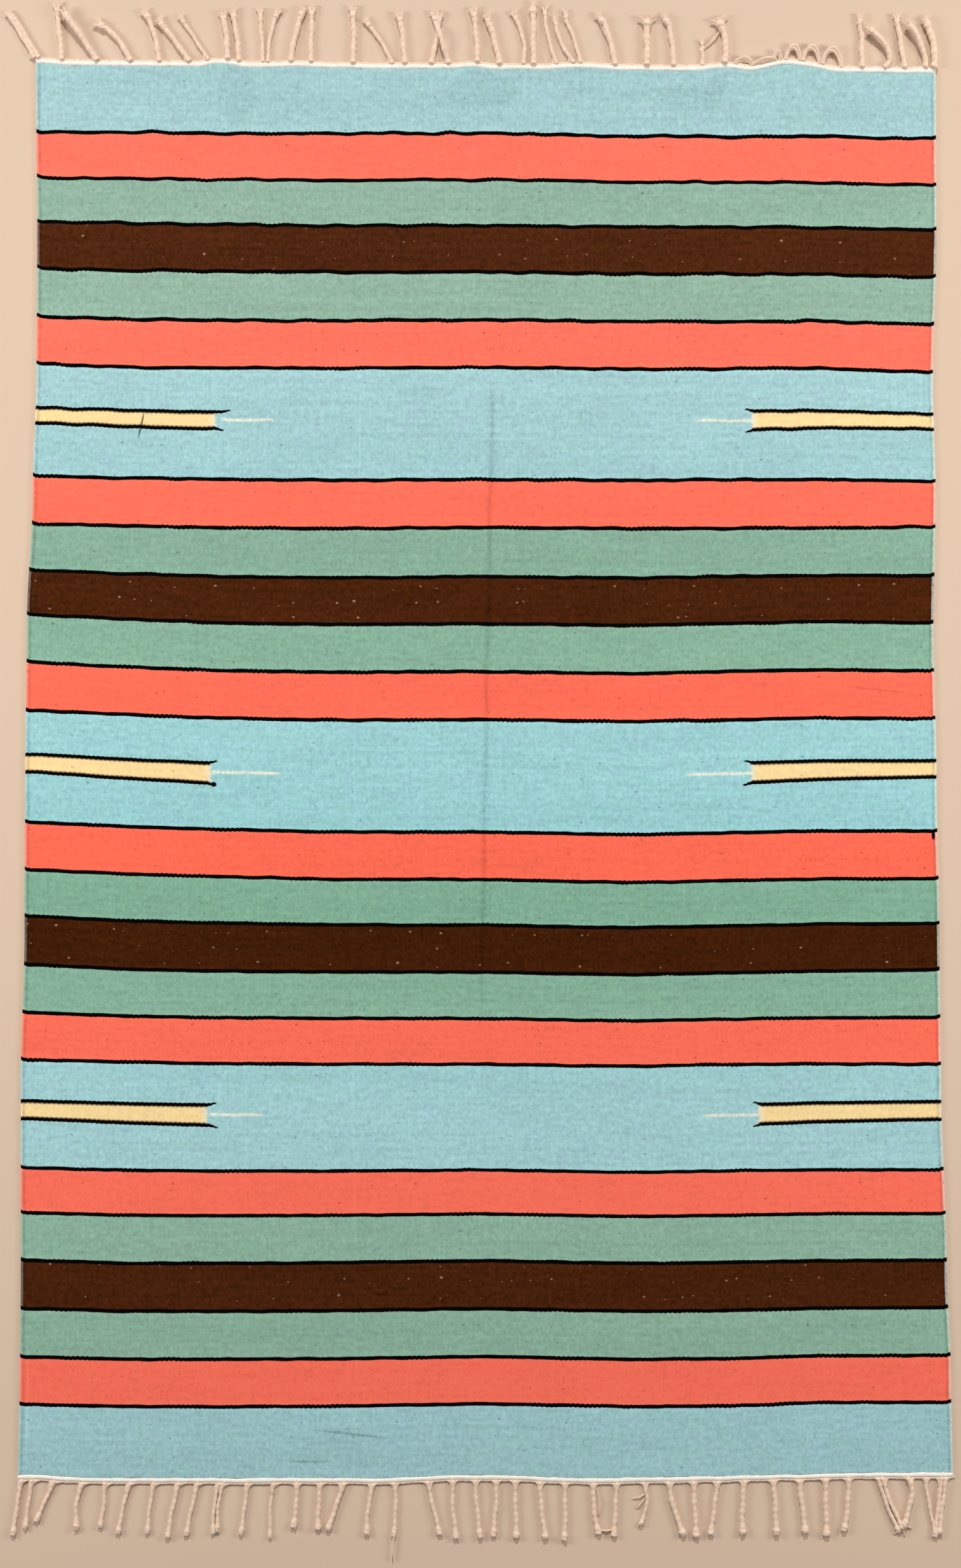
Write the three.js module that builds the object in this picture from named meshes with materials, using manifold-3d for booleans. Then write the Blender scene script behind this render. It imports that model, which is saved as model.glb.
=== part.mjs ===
// A striped flatwoven kilim rug lying open on a floor, in millimetres.
// The origin is on the floor under the rug's middle: +X to its right side, +Y to its far end, +Z up.
// The rug is one woven cloth with a corded fringe along each end.
import * as THREE from "three";
import { mergeVertices } from "three/addons/utils/BufferGeometryUtils.js";
import Module from "manifold-3d";

const wasm = await Module();
wasm.setup();

// Cloth: a hand-woven sheet whose sides spread a little towards the near end.
const clothThickness = 3;
const clothColumns = 42;
const clothRows = 34;
const middleCrowding = 0.6; // columns stand closer along the centre crease
const farCrowding = 0.5; // rows stand closer under the far end's puckers
const sideStops = [
  // where the two sides lie, from the far end to the near end
  { y: 950, left: -594, right: 608 },
  { y: 719, left: -592, right: 609 },
  { y: 530, left: -593, right: 604 },
  { y: 373, left: -598, right: 608 },
  { y: 184, left: -606, right: 605 },
  { y: -4, left: -608, right: 609 },
  { y: -224, left: -609, right: 613 },
  { y: -413, left: -614, right: 615 },
  { y: -665, left: -614, right: 623 },
  { y: -790, left: -615, right: 628 },
  { y: -950, left: -618, right: 631 },
];

// The two woven ends: a nearly straight line, with rises where the weft was beaten unevenly.
const endLines = {
  far: {
    outward: 1,
    y: 942,
    slope: -0.0085,
    rises: [
      { x: -351, rise: 3.5, half: 40 },
      { x: 128, rise: 3.5, half: 42 },
      { x: 326, rise: 3.5, half: 36 },
      { x: 412, rise: 9.5, half: 60 },
    ],
  },
  near: {
    outward: -1,
    y: -940.5,
    slope: 0,
    rises: [
      { x: -600, rise: 3, half: 60 },
      { x: 30, rise: 2.5, half: 120 },
      { x: 625, rise: 11, half: 330 },
    ],
  },
};

// Soft folds that lift the cloth off the floor: turn is the fold's direction in degrees from +X.
const folds = [
  { name: "left of the centre crease", x: -20, y: 100, long: 900, wide: 58, turn: 91, lift: 1.3 },
  { name: "right of the centre crease", x: 38, y: 102, long: 900, wide: 58, turn: 91, lift: 1.1 },
  { name: "faint second crease", x: -101, y: -64, long: 300, wide: 60, turn: 90, lift: 0.8 },
  { name: "far left pucker", x: -340, y: 905, long: 130, wide: 80, turn: 65, lift: 2 },
  { name: "far middle pucker", x: -5, y: 912, long: 120, wide: 90, turn: 20, lift: 1.6 },
  { name: "far right pucker", x: 290, y: 893, long: 150, wide: 90, turn: 50, lift: 1.8 },
  { name: "right side ripple", x: 545, y: 122, long: 190, wide: 90, turn: -6, lift: 1.5 },
  { name: "near left ripple", x: -200, y: -874, long: 220, wide: 90, turn: -5, lift: 1.2 },
];

// Fringe: warp ends gathered and corded out of a twined heading, each cord tied in a knot.
const partingGap = 0.3; // between the heading and the cloth's edge
const headingWidth = 8;
const headingThickness = 3.6;
const headingTopShare = 0.8; // its top is narrower than its foot
const rootDepth = 3; // how far a cord's root reaches into the heading
const rootFlare = 7; // the warps close up to a cord over this length
const rootThickness = 2.8;
const knotLength = 12;
const cordTopShare = 0.62;
const cordKinds = {
  cord: { width: 6.4, thickness: 4.8, rootWidth: 13, knotWidth: 10, knotThickness: 6.6, tipWidth: 5 },
  thin: { width: 4.2, thickness: 3.6, rootWidth: 9, knotWidth: 6, knotThickness: 4.6, tipWidth: 3 },
  double: { width: 10.5, thickness: 5, rootWidth: 17, knotWidth: 13, knotThickness: 6.8, tipWidth: 8 },
  fat: { width: 8, thickness: 5.4, rootWidth: 14, knotWidth: 13, knotThickness: 7.2, tipWidth: 11 },
  loop: { width: 4.6, thickness: 3.8, rootWidth: 6, knotWidth: 5, knotThickness: 4, tipWidth: 6 },
};

// One row for a cord: where its root is along the end, how far its tip leans sideways and reaches
// outwards, how far it bows sideways at the share bowAt of that reach, and its kind.
const cordColumns = ["root", "lean", "reach", "bow", "bowAt", "kind"];
const cordTables = {
  far: [
    [-592, -34, 55, 0, 0.5, "double"],
    [-558, -7, 69, 0, 0.5, "cord"],
    [-511, -36, 61, -1, 0.55, "cord"],
    [-466, -41, 49, 5, 0.57, "cord"],
    [-428, -17, 63, 2, 0.5, "cord"],
    [-388, -40, 52, 0, 0.5, "cord"],
    [-363, -36, 53, 0, 0.5, "thin"],
    [-337, -6, 57, 1, 0.5, "cord"],
    [-322, -4, 63, 1, 0.5, "cord"],
    [-290, -4, 65, 0, 0.5, "thin"],
    [-280, 9, 65, -3, 0.55, "thin"],
    [-253, 16, 66, -2, 0.5, "cord"],
    [-226, 1, 68, 0, 0.5, "cord"],
    [-170, 0, 69, 1, 0.5, "cord"],
    [-117, -35, 54, 2, 0.55, "thin"],
    [-101, -7, 62, 1, 0.5, "cord"],
    [-66, 2, 62, 4, 0.5, "cord"],
    [-42, -8, 63, -3, 0.5, "cord"],
    [-4, -5, 66, 1, 0.5, "cord"],
    [26, -17, 61, 1, 0.5, "cord"],
    [57, -12, 64, 6, 0.47, "thin"],
    [71, -1, 77, 0, 0.5, "cord"],
    [102, -16, 71, -4, 0.48, "thin"],
    [125, -25, 55, -6, 0.5, "thin"],
    [134, -24, 64, 2, 0.5, "thin"],
    [180, -17, 62, 1, 0.5, "cord"],
    [222, 0, 61, 0, 0.5, "fat"],
    [258, -8, 62, 1, 0.5, "cord"],
    [296, 0, 28, 0, 0.5, "thin"],
    [325, -7, 56, 5, 0.45, "fat"],
    [341, 20, 7, 0, 0.5, "loop"],
    [364, 36, 9, 0, 0.5, "loop"],
    [407, 20, 14, 0, 0.5, "loop"],
    [431, 21, 20, 0, 0.5, "loop"],
    [457, 24, 19, 0, 0.5, "loop"],
    [509, -3, 64, 1, 0.5, "cord"],
    [535, -14, 51, 13, 0.3, "cord"],
    [567, -11, 65, 0, 0.5, "cord"],
    [588, -12, 57, 4, 0.4, "cord"],
    [602, -3, 61, 2, 0.3, "double"],
  ],
  near: [
    [-612, -12, 74, -1, 0.45, "cord"],
    [-599, -9, 65, 0, 0.5, "cord"],
    [-569, -25, 54, 0, 0.5, "cord"],
    [-530, -9, 62, -5, 0.42, "cord"],
    [-502, -6, 59, 2, 0.47, "cord"],
    [-467, -17, 67, -2, 0.35, "cord"],
    [-436, -9, 67, -1, 0.4, "cord"],
    [-403, -15, 73, -1, 0.4, "cord"],
    [-377, -16, 70, -1, 0.4, "cord"],
    [-346, -8, 66, -3, 0.42, "double"],
    [-312, -8, 68, 1, 0.4, "cord"],
    [-276, -5, 73, -2, 0.4, "thin"],
    [-246, -4, 59, 2, 0.47, "cord"],
    [-213, -4, 62, -1, 0.45, "cord"],
    [-182, -22, 62, 0, 0.45, "cord"],
    [-142, -10, 68, -3, 0.4, "cord"],
    [-116, 0, 71, 3, 0.4, "cord"],
    [-71, 17, 71, 0, 0.4, "cord"],
    [-37, 5, 78, -2, 0.5, "cord"],
    [-7, 7, 77, -1, 0.5, "cord"],
    [20, -3, 75, 2, 0.35, "cord"],
    [46, 2, 77, 0, 0.4, "cord"],
    [79, 8, 76, -1, 0.4, "cord"],
    [112, 0, 77, 1, 0.4, "cord"],
    [151, 7, 68, -3, 0.5, "cord"],
    [182, -4, 71, 0, 0.4, "cord"],
    [217, -4, 56, 7, 0.48, "thin"],
    [251, 21, 71, -3, 0.5, "cord"],
    [284, 4, 74, 0, 0.4, "cord"],
    [317, -10, 71, 0, 0.45, "cord"],
    [353, -3, 72, -2, 0.45, "cord"],
    [390, 5, 73, 1, 0.45, "cord"],
    [425, 9, 71, 0, 0.48, "cord"],
    [460, 2, 76, 0, 0.45, "cord"],
    [491, -6, 70, 2, 0.5, "cord"],
    [533, 26, 71, -2, 0.5, "cord"],
    [569, 2, 64, 5, 0.3, "thin"],
    [594, 2, 73, 1, 0.3, "thin"],
    [619, -10, 83, 0, 0.4, "double"],
  ],
};

const materials = {
  cloth: new THREE.MeshStandardMaterial({ color: 0xa9d1d4, roughness: 0.95, metalness: 0 }),
  fringe: new THREE.MeshStandardMaterial({ color: 0xe6cbae, roughness: 0.95, metalness: 0 }),
};

// A smooth swelling: 1 in the middle, falling to 0 at a distance of 1 and beyond.
function bell(distance) {
  const inside = Math.max(0, 1 - distance * distance);
  return inside * inside;
}

// Where both sides lie at a height y, eased between the two stops around it.
function sidesAt(y) {
  const next = Math.max(1, sideStops.findIndex((stop) => stop.y <= y));
  const before = sideStops[next - 1];
  const after = sideStops[next];
  const share = THREE.MathUtils.smoothstep(before.y - y, 0, before.y - after.y);
  return {
    left: THREE.MathUtils.lerp(before.left, after.left, share),
    right: THREE.MathUtils.lerp(before.right, after.right, share),
  };
}

// The y of a woven end at a place x along it.
function endAt(end, x) {
  const line = endLines[end];
  const risen = line.rises.reduce((sum, each) => sum + each.rise * bell((x - each.x) / each.half), 0);
  return line.y + line.slope * x + risen;
}

// How far the folds lift the cloth off the floor.
function liftAt(x, y) {
  return folds.reduce((sum, fold) => {
    const turn = THREE.MathUtils.degToRad(fold.turn);
    const along = (x - fold.x) * Math.cos(turn) + (y - fold.y) * Math.sin(turn);
    const across = (y - fold.y) * Math.cos(turn) - (x - fold.x) * Math.sin(turn);
    return sum + fold.lift * bell((2 * along) / fold.long) * bell((2 * across) / fold.wide);
  }, 0);
}

// A crossing of the cloth's grid: column 0 is the left side and row 0 the far end.
function clothCrossing(column, row) {
  const side = (2 * column) / clothColumns - 1;
  const across = 0.5 + 0.5 * side * (middleCrowding + (1 - middleCrowding) * side * side);
  const step = row / clothRows;
  const down = step * (farCrowding + (1 - farCrowding) * step);
  const sides = sidesAt(THREE.MathUtils.lerp(endLines.far.y, endLines.near.y, down));
  const x = THREE.MathUtils.lerp(sides.left, sides.right, across);
  const y = THREE.MathUtils.lerp(endAt("far", x), endAt("near", x), down);
  return { x, y };
}

// A closed geometry from a flat list of coordinates and its triangles.
function closedGeometry(positions, triangles) {
  const geometry = new THREE.BufferGeometry();
  geometry.setAttribute("position", new THREE.Float32BufferAttribute(positions, 3));
  geometry.setIndex(triangles);
  geometry.computeVertexNormals();
  return geometry;
}

// The woven cloth: an upper and a lower grid of the same crossings, closed along their rim.
function clothGeometry() {
  const positions = [];
  const triangles = [];
  const perLayer = (clothColumns + 1) * (clothRows + 1);
  const at = (layer, column, row) => layer * perLayer + row * (clothColumns + 1) + column;
  for (const height of [clothThickness, 0]) {
    for (let row = 0; row <= clothRows; row++) {
      for (let column = 0; column <= clothColumns; column++) {
        const { x, y } = clothCrossing(column, row);
        positions.push(x, y, liftAt(x, y) + height);
      }
    }
  }
  const quad = (a, b, c, d) => triangles.push(a, b, c, a, c, d);
  for (let row = 0; row < clothRows; row++) {
    for (let column = 0; column < clothColumns; column++) {
      const corners = (layer) => [
        at(layer, column, row),
        at(layer, column, row + 1),
        at(layer, column + 1, row + 1),
        at(layer, column + 1, row),
      ];
      quad(...corners(0));
      quad(...corners(1).reverse());
    }
  }
  const wall = (fromColumn, fromRow, toColumn, toRow) =>
    quad(
      at(0, fromColumn, fromRow),
      at(1, fromColumn, fromRow),
      at(1, toColumn, toRow),
      at(0, toColumn, toRow),
    );
  for (let column = 0; column < clothColumns; column++) {
    wall(column, clothRows, column + 1, clothRows);
    wall(column + 1, 0, column, 0);
  }
  for (let row = 0; row < clothRows; row++) {
    wall(0, row, 0, row + 1);
    wall(clothColumns, row + 1, clothColumns, row);
  }
  return closedGeometry(positions, triangles);
}

// A solid through four-cornered sections, given in order along a path, with its two ends closed.
function loftGeometry(sections) {
  const positions = sections.flatMap((section) => section.flatMap((corner) => corner.toArray()));
  const triangles = [];
  for (let section = 0; section + 1 < sections.length; section++) {
    for (let corner = 0; corner < 4; corner++) {
      const a = 4 * section + corner;
      const b = 4 * section + ((corner + 1) % 4);
      triangles.push(a, b + 4, b, a, a + 4, b + 4);
    }
  }
  const last = 4 * (sections.length - 1);
  triangles.push(0, 1, 2, 0, 2, 3, last, last + 2, last + 1, last, last + 3, last + 2);
  return closedGeometry(positions, triangles);
}

// The four corners of a section that stands on the floor across a direction of travel.
function standingSection(point, travel, width, thickness, topShare) {
  const left = new THREE.Vector3(-travel.y, travel.x, 0).normalize();
  const corner = (side, height) =>
    point.clone().addScaledVector(left, side * width).setZ(height);
  return [
    corner(0.5, 0),
    corner(-0.5, 0),
    corner(-0.5 * topShare, thickness),
    corner(0.5 * topShare, thickness),
  ];
}

// The twined heading: a low strip that follows the cloth's edge, a parting gap away from it.
function headingGeometry(end) {
  const { outward } = endLines[end];
  const row = end === "far" ? 0 : clothRows;
  const travel = new THREE.Vector3(1, 0, 0);
  const sections = [];
  for (let column = 0; column <= clothColumns; column++) {
    const { x, y } = clothCrossing(column, row);
    const middle = new THREE.Vector3(x, y + outward * (partingGap + headingWidth / 2), 0);
    sections.push(standingSection(middle, travel, headingWidth, headingThickness, headingTopShare));
  }
  return loftGeometry(sections);
}

// The line on the floor that a cord follows, from inside the heading to its tip.
function cordPath(end, row) {
  const { outward } = endLines[end];
  const heading = (x) => endAt(end, x) + outward * (partingGap + headingWidth);
  const place = (sideways, out) =>
    new THREE.Vector3(row.root + sideways, heading(row.root + sideways) + outward * out, 0);
  if (row.kind === "loop") {
    const top = 0.9 * row.reach;
    return new THREE.CatmullRomCurve3([
      place(0, -rootDepth),
      place(0.2 * row.lean, top),
      place(0.8 * row.lean, top),
      place(row.lean, -rootDepth),
    ]);
  }
  const rootY = heading(row.root);
  const onward = (sideways, out) => new THREE.Vector3(row.root + sideways, rootY + outward * out, 0);
  return new THREE.CatmullRomCurve3([
    onward(0, -rootDepth),
    onward(row.lean * row.bowAt + row.bow, row.reach * row.bowAt),
    onward(row.lean, row.reach),
  ]);
}

// The widths along a cord: a flared root, an even body, then a knot that closes to a blunt tip.
function cordStations(row, length) {
  const kind = cordKinds[row.kind];
  const root = { at: 0, width: kind.rootWidth, thickness: rootThickness };
  const body = (at) => ({ at, width: kind.width, thickness: kind.thickness });
  if (row.kind === "loop") {
    return [root, body(0.25 * length), body(0.5 * length), body(0.75 * length), { ...root, at: length }];
  }
  const neck = rootDepth + rootFlare;
  const knot = Math.min(knotLength, 0.3 * length);
  return [
    root,
    { ...root, at: rootDepth },
    body(neck),
    body(0.5 * (neck + length - knot)),
    body(length - knot),
    { at: length - 0.5 * knot, width: kind.knotWidth, thickness: kind.knotThickness },
    { at: length, width: kind.tipWidth, thickness: 0.5 * kind.knotThickness },
  ];
}

function cordGeometry(end, row) {
  const path = cordPath(end, row);
  const length = path.getLength();
  const sections = cordStations(row, length).map(({ at, width, thickness }) => {
    const share = at / length;
    return standingSection(path.getPointAt(share), path.getTangentAt(share), width, thickness, cordTopShare);
  });
  return loftGeometry(sections);
}

function solidOf(geometry) {
  const bare = geometry.clone();
  bare.deleteAttribute("normal");
  const merged = mergeVertices(bare);
  return new wasm.Manifold(
    new wasm.Mesh({
      numProp: 3,
      vertProperties: merged.attributes.position.array,
      triVerts: new Uint32Array(merged.index.array),
    }),
  );
}

// The heading of one end with every cord's root fused into it.
function fringeGeometry(end) {
  const rows = cordTables[end].map((values) =>
    Object.fromEntries(cordColumns.map((column, index) => [column, values[index]])),
  );
  const solids = [headingGeometry(end), ...rows.map((row) => cordGeometry(end, row))].map(solidOf);
  const fused = wasm.Manifold.union(solids).getMesh();
  return closedGeometry([...fused.vertProperties], [...fused.triVerts]);
}

function makeCloth() {
  const cloth = new THREE.Mesh(clothGeometry(), materials.cloth);
  cloth.name = "rug_cloth";
  return cloth;
}

function makeFringe(end) {
  const fringe = new THREE.Mesh(fringeGeometry(end), materials.fringe);
  fringe.name = `fringe_${end}`;
  return fringe;
}

const rug = new THREE.Group();
rug.add(makeCloth(), makeFringe("far"), makeFringe("near"));

export default rug;
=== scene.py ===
import bpy
import numpy as np
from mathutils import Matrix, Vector


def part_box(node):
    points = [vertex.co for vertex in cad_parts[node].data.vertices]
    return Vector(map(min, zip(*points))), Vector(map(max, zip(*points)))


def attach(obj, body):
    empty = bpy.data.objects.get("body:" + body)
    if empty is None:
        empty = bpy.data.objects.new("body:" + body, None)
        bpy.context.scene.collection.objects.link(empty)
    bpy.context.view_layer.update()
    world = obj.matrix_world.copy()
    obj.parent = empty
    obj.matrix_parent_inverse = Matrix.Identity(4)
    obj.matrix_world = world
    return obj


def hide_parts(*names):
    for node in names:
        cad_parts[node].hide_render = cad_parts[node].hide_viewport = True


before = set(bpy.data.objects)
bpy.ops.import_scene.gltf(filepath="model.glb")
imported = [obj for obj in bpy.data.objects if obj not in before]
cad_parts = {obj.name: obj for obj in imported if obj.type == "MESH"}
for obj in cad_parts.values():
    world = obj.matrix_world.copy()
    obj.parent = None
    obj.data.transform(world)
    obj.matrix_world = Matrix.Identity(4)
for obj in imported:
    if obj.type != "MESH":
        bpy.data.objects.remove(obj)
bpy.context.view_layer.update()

clothLow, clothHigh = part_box("rug_cloth")
mm = 0.001
pi = np.pi
print("stage: frame loaded")


def named(columns, *rows):
    # a table's rows, each with its values under the names of their columns
    return [dict(zip(columns.split(), row)) for row in rows]


# Camera: straight above, framed as a print of 1510 by 2464 pixels, 0.85 mm of rug to a pixel.
cameraView = {
    "height": 3.5,
    "frameLength": 2094.4 * mm,  # rug length that the long side of the frame covers
    "frameMiddle": (0, -14.4 * mm),
    "sensor": 36,
}


def makeCamera(view):
    # lens = sensor x height over the length that the frame covers
    data = bpy.data.cameras.new("overheadCamera")
    data.sensor_width = view["sensor"]
    data.lens = view["sensor"] * view["height"] / view["frameLength"]
    camera = bpy.data.objects.new("overheadCamera", data)
    camera.location = (*view["frameMiddle"], view["height"])
    bpy.context.scene.collection.objects.link(camera)
    bpy.context.scene.camera = camera


# Studio: a light well past the far end that draws the shadows, and a smaller one over each side.
studio = {
    "floorColour": (219, 193, 169),
    "floorSize": 14.0,
    "worldColour": (0.93, 0.96, 1.0),
    "worldStrength": 0.227,
    "lightColour": (1.0, 0.985, 0.96),
    "aim": (0.0, 0.25, 0.0),
    "lights": [
        {"name": "leftLight", "at": (-2.6, 0.4, 1.5), "size": (0.5, 1.0), "power": 38},
        {"name": "rightLight", "at": (2.6, 0.4, 1.5), "size": (0.5, 1.0), "power": 36.5},
        {"name": "farLight", "at": (-0.2, 8.0, 6.6), "size": (1.3, 1.0), "power": 675},
    ],
}


def linearColour(colour):
    # a colour of 0 to 255 as seen on a screen, as the amounts of light that shaders take
    share = np.array(colour, float) / 255
    light = np.where(share <= 0.04045, share / 12.92, ((share + 0.055) / 1.055) ** 2.4)
    return (*light.tolist(), 1.0)


def makeStudio(values):
    # each light's -Z axis points from its place at the aim point
    for row in values["lights"]:
        data = bpy.data.lights.new(row["name"], "AREA")
        data.shape = "RECTANGLE"
        data.size, data.size_y = row["size"]
        data.energy = row["power"]
        data.color = values["lightColour"]
        light = bpy.data.objects.new(row["name"], data)
        light.location = row["at"]
        aim = Vector(values["aim"]) - Vector(row["at"])
        light.rotation_euler = aim.to_track_quat("-Z", "Y").to_euler()
        bpy.context.scene.collection.objects.link(light)
    world = bpy.data.worlds.new("studioWorld")
    world.use_nodes = True
    background = world.node_tree.nodes["Background"]
    background.inputs["Color"].default_value = (*values["worldColour"], 1)
    background.inputs["Strength"].default_value = values["worldStrength"]
    bpy.context.scene.world = world
    half = values["floorSize"] / 2
    mesh = bpy.data.meshes.new("studioFloor")
    corners = [(-half, -half, 0), (half, -half, 0), (half, half, 0), (-half, half, 0)]
    mesh.from_pydata(corners, [], [(0, 1, 2, 3)])
    floor = bpy.data.objects.new("studioFloor", mesh)
    bpy.context.scene.collection.objects.link(floor)
    material = bpy.data.materials.new("paleFloor")
    material.use_nodes = True
    shader = material.node_tree.nodes["Principled BSDF"]
    shader.inputs["Base Color"].default_value = linearColour(values["floorColour"])
    shader.inputs["Roughness"].default_value = 0.85
    shader.inputs["Specular IOR Level"].default_value = 0.2
    mesh.materials.append(material)


makeCamera(cameraView)
makeStudio(studio)
bpy.context.scene.view_settings.view_transform = "Standard"
print("stage: camera and studio made")

# Cloth: the woven sheet is worked out in the weaver's own places, then laid as it lies on the floor.
# A woven place is across, which follows the weft from side to side, and along, which follows the warps.
rugCloth = {
    "thickness": 3 * mm,
    "wovenWidth": 1220 * mm,  # the width at which across is counted
    "middle": 8 * mm,  # the x at which the outlines' places are given
    "warpStep": 5 * mm,
    "fineStep": 1.5 * mm,  # between the warps of the fine stretches
    "fineSide": 8 * mm,  # how far a fine stretch goes in from each side
    "fineCrease": (-10 * mm, 25 * mm),  # and from the middle, where the centre crease is
    "edgeStep": 0.5 * mm,
    "stripeRows": 5,
    "fieldRows": 11,
    "endRows": 8,
    "fieldHeight": 147 * mm,  # the blue field that one band number stands for
    "stripeHeight": 63 * mm,
    "scallop": 1.3 * mm,  # how far the wefts wave at the far end
    "heldEnd": 60 * mm,  # the wefts wave less over this length beside a woven end
    "cockle": 0.4 * mm,  # how far the cloth rises and dips at the far end
}

# Kinds of unevenness in the shapes: the shortest and the longest wave in mm, and a random seed.
unevenness = {
    "end": (34, 110, 61),
    "weft": (26, 95, 11),
    "cockle": (30, 130, 12),
    "left": (9, 60, 30),
    "right": (9, 60, 32),
    "heading line": (12, 70, 41),
    "heading width": (9, 55, 43),
}

# The crease down the middle: its two ends, where past them and over what length it fades, and how it wanders.
centreCrease = {
    "far": {"x": 16 * mm, "y": 514 * mm, "past": 25 * mm, "fade": 60 * mm},
    "near": {"x": 1 * mm, "y": -310 * mm, "past": 35 * mm, "fade": 90 * mm},
    "wander": 0.8 * mm,
    "wanderLength": 31 * mm,
    "width": 3.2 * mm,
    "depth": 0.7 * mm,
}

# The y of the six black outlines of each group of five stripes, in the rug's middle.
outlineGroups = [
    [854, 792, 731.5, 669, 605, 541.5],
    [392, 328, 262.5, 199.5, 135.5, 71.5],
    [-78.5, -142, -202.5, -265.5, -327.5, -388.5],
    [-529.5, -588, -650.5, -714.5, -778.5, -841.5],
]

# Where the two sides lie, from the far end to the near end.
sideStops = named(
    "y left right",
    [950, -594, 608],
    [719, -592, 609],
    [530, -593, 604],
    [373, -598, 608],
    [184, -606, 605],
    [-4, -608, 609],
    [-224, -609, 613],
    [-413, -614, 615],
    [-665, -614, 623],
    [-790, -615, 628],
    [-950, -618, 631],
)

# How far a weft at y bows from its place in the rug's middle, at nine places across.
bowPlaces = [-595, -470, -350, -200, 8, 200, 330, 450, 605]
weftBows = named(
    "y bows",
    [855, [1, 1, -1, -1, 0, -4, -4.5, -4, -8]],
    [731, [5, 2.5, 1.5, -0.5, 0, -2.5, -2.5, -3.5, -7]],
    [543, [5, 0, -1, -1.2, 0, -2.5, -2, -1, -7]],
    [392, [4.6, 2, 0, -1, 0, -1, -0.5, 0, -3]],
    [328, [5, 2, -0.5, -2, 0, -1.8, -1, -0.5, 1]],
    [201, [12, 6, 1, -1.2, 0, -2.3, 0.4, 3, 1]],
    [-141, [13, 7.5, 4, 0.3, 0, -4, -1.5, 1, 1]],
    [-264, [10, 3.5, 1.4, 0.2, 0, -3.6, -1, 1.4, 3]],
    [-388, [6, 3, 1, 0.2, 0, -2.8, -0.3, 0.6, 0]],
    [-652, [0, -3.5, -3.6, -2.8, 0, -3.8, -2.5, 0, 0.5]],
    [-842, [-1, -3.8, -4, -3.3, 0, -4, -3, 1.6, 2]],
)

# The two woven ends: a nearly straight line, with rises where the weft was beaten unevenly.
endLines = {
    "far": {
        "outward": 1,
        "y": 939.5,
        "slope": -0.0085,
        "waviness": 0.6,
        "rises": named(
            "x rise half",
            [-592, 3, 60],
            [-343, 4.5, 38],
            [-240, 1.5, 40],
            [-10, 3, 26],
            [135, 3, 62],
            [327, 5, 36],
            [415, 10, 66],
        ),
    },
    "near": {
        "outward": -1,
        "y": -940.5,
        "slope": 0,
        "waviness": 0.5,
        "rises": named(
            "x rise half",
            [-600, 4.5, 80],
            [0, 4, 140],
            [625, 7.5, 480],
        ),
    },
}

# Soft folds that lift the cloth off the floor: turn is the fold's direction in degrees from +X.
folds = named(
    "x y long wide turn lift",
    [-20, 100, 900, 58, 91, 1.3],  # left of the centre crease
    [38, 102, 900, 58, 91, 1.1],  # right of the centre crease
    [-101, -64, 300, 60, 90, 0.8],  # faint second crease
    [-340, 905, 130, 80, 65, 2],  # far left pucker
    [-5, 912, 120, 90, 20, 1.6],  # far middle pucker
    [290, 893, 150, 90, 50, 1.8],  # far right pucker
    [545, 122, 190, 90, -6, 1.5],  # right side ripple
    [-200, -874, 220, 90, -5, 1.2],  # near left ripple
)

# How light and how fresh the wool is along the rug, partly from its dye lots and partly as painted light and
# shade that evens out the lamps' falloff: brown is the lightness of the brown stripes.
dyeLotsAndPaintedLight = named(
    "along light fresh brown",
    [900, 0.96, 0, 1],
    [700, 1.02, 0, 1],
    [472, 1.01, 0.06, 0.95],
    [295, 0.95, 0.16, 0.9],
    [0, 1.07, 0.24, 0.85],
    [-172, 0.96, 0.33, 0.72],
    [-455, 1.05, 0.1, 0.8],
    [-746, 1.02, 0.13, 0.93],
    [-900, 0.975, 0.04, 0.93],
)


def column(rows, name):
    # one named column of a table, in metres
    return np.array([row[name] for row in rows], float) * mm


def smooth(share):
    # 3t squared - 2t cubed, with t held between 0 and 1
    held = np.clip(share, 0, 1)
    return held * held * (3 - 2 * held)


def bell(distance):
    # (1 - d squared) squared inside a distance of 1, and 0 beyond it
    return np.clip(1 - distance ** 2, 0, None) ** 2


def waves(x, y, kind, count=28):
    # a sum of sine waves of seeded directions and lengths, scaled to run about from -1 to 1
    shortest, longest, seed = unevenness[kind]
    rng = np.random.default_rng(seed)
    turns = rng.uniform(0, pi, count)
    lengths = rng.uniform(shortest * mm, longest * mm, count)
    phases = rng.uniform(0, 2 * pi, count)
    total = np.zeros(np.broadcast(x, y).shape)
    for turn, length, phase in zip(turns, lengths, phases):
        total += np.sin(2 * pi * (x * np.cos(turn) + y * np.sin(turn)) / length + phase)
    return total / np.sqrt(2 * count)


def fromNear(y, start, least):
    # the least up to y = -start x half the rug's length, and from there easing to 1 at the far end
    return least + (1 - least) * smooth((y / clothHigh.y + start) / (1 + start))


def between(value, stops):
    # the number of the stop before a value, and the share of the way from it to the next stop
    place = np.interp(value, stops, np.arange(len(stops)))
    before = np.clip(place.astype(int), 0, len(stops) - 2)
    return before, place - before


def sideAt(y, side):
    # the side's x at y, eased between the two stops around it
    before, share = between(-y, -column(sideStops, "y"))
    values = column(sideStops, side)
    return values[before] + (values[before + 1] - values[before]) * smooth(share)


def endAt(end, x):
    # y = line + slope x + small waves, plus a bell for each rise
    line = endLines[end]
    y = line["y"] * mm + line["slope"] * x + line["waviness"] * mm * waves(x, 0, "end")
    for row in line["rises"]:
        y = y + row["rise"] * mm * bell((x / mm - row["x"]) / row["half"])
    return y


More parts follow.
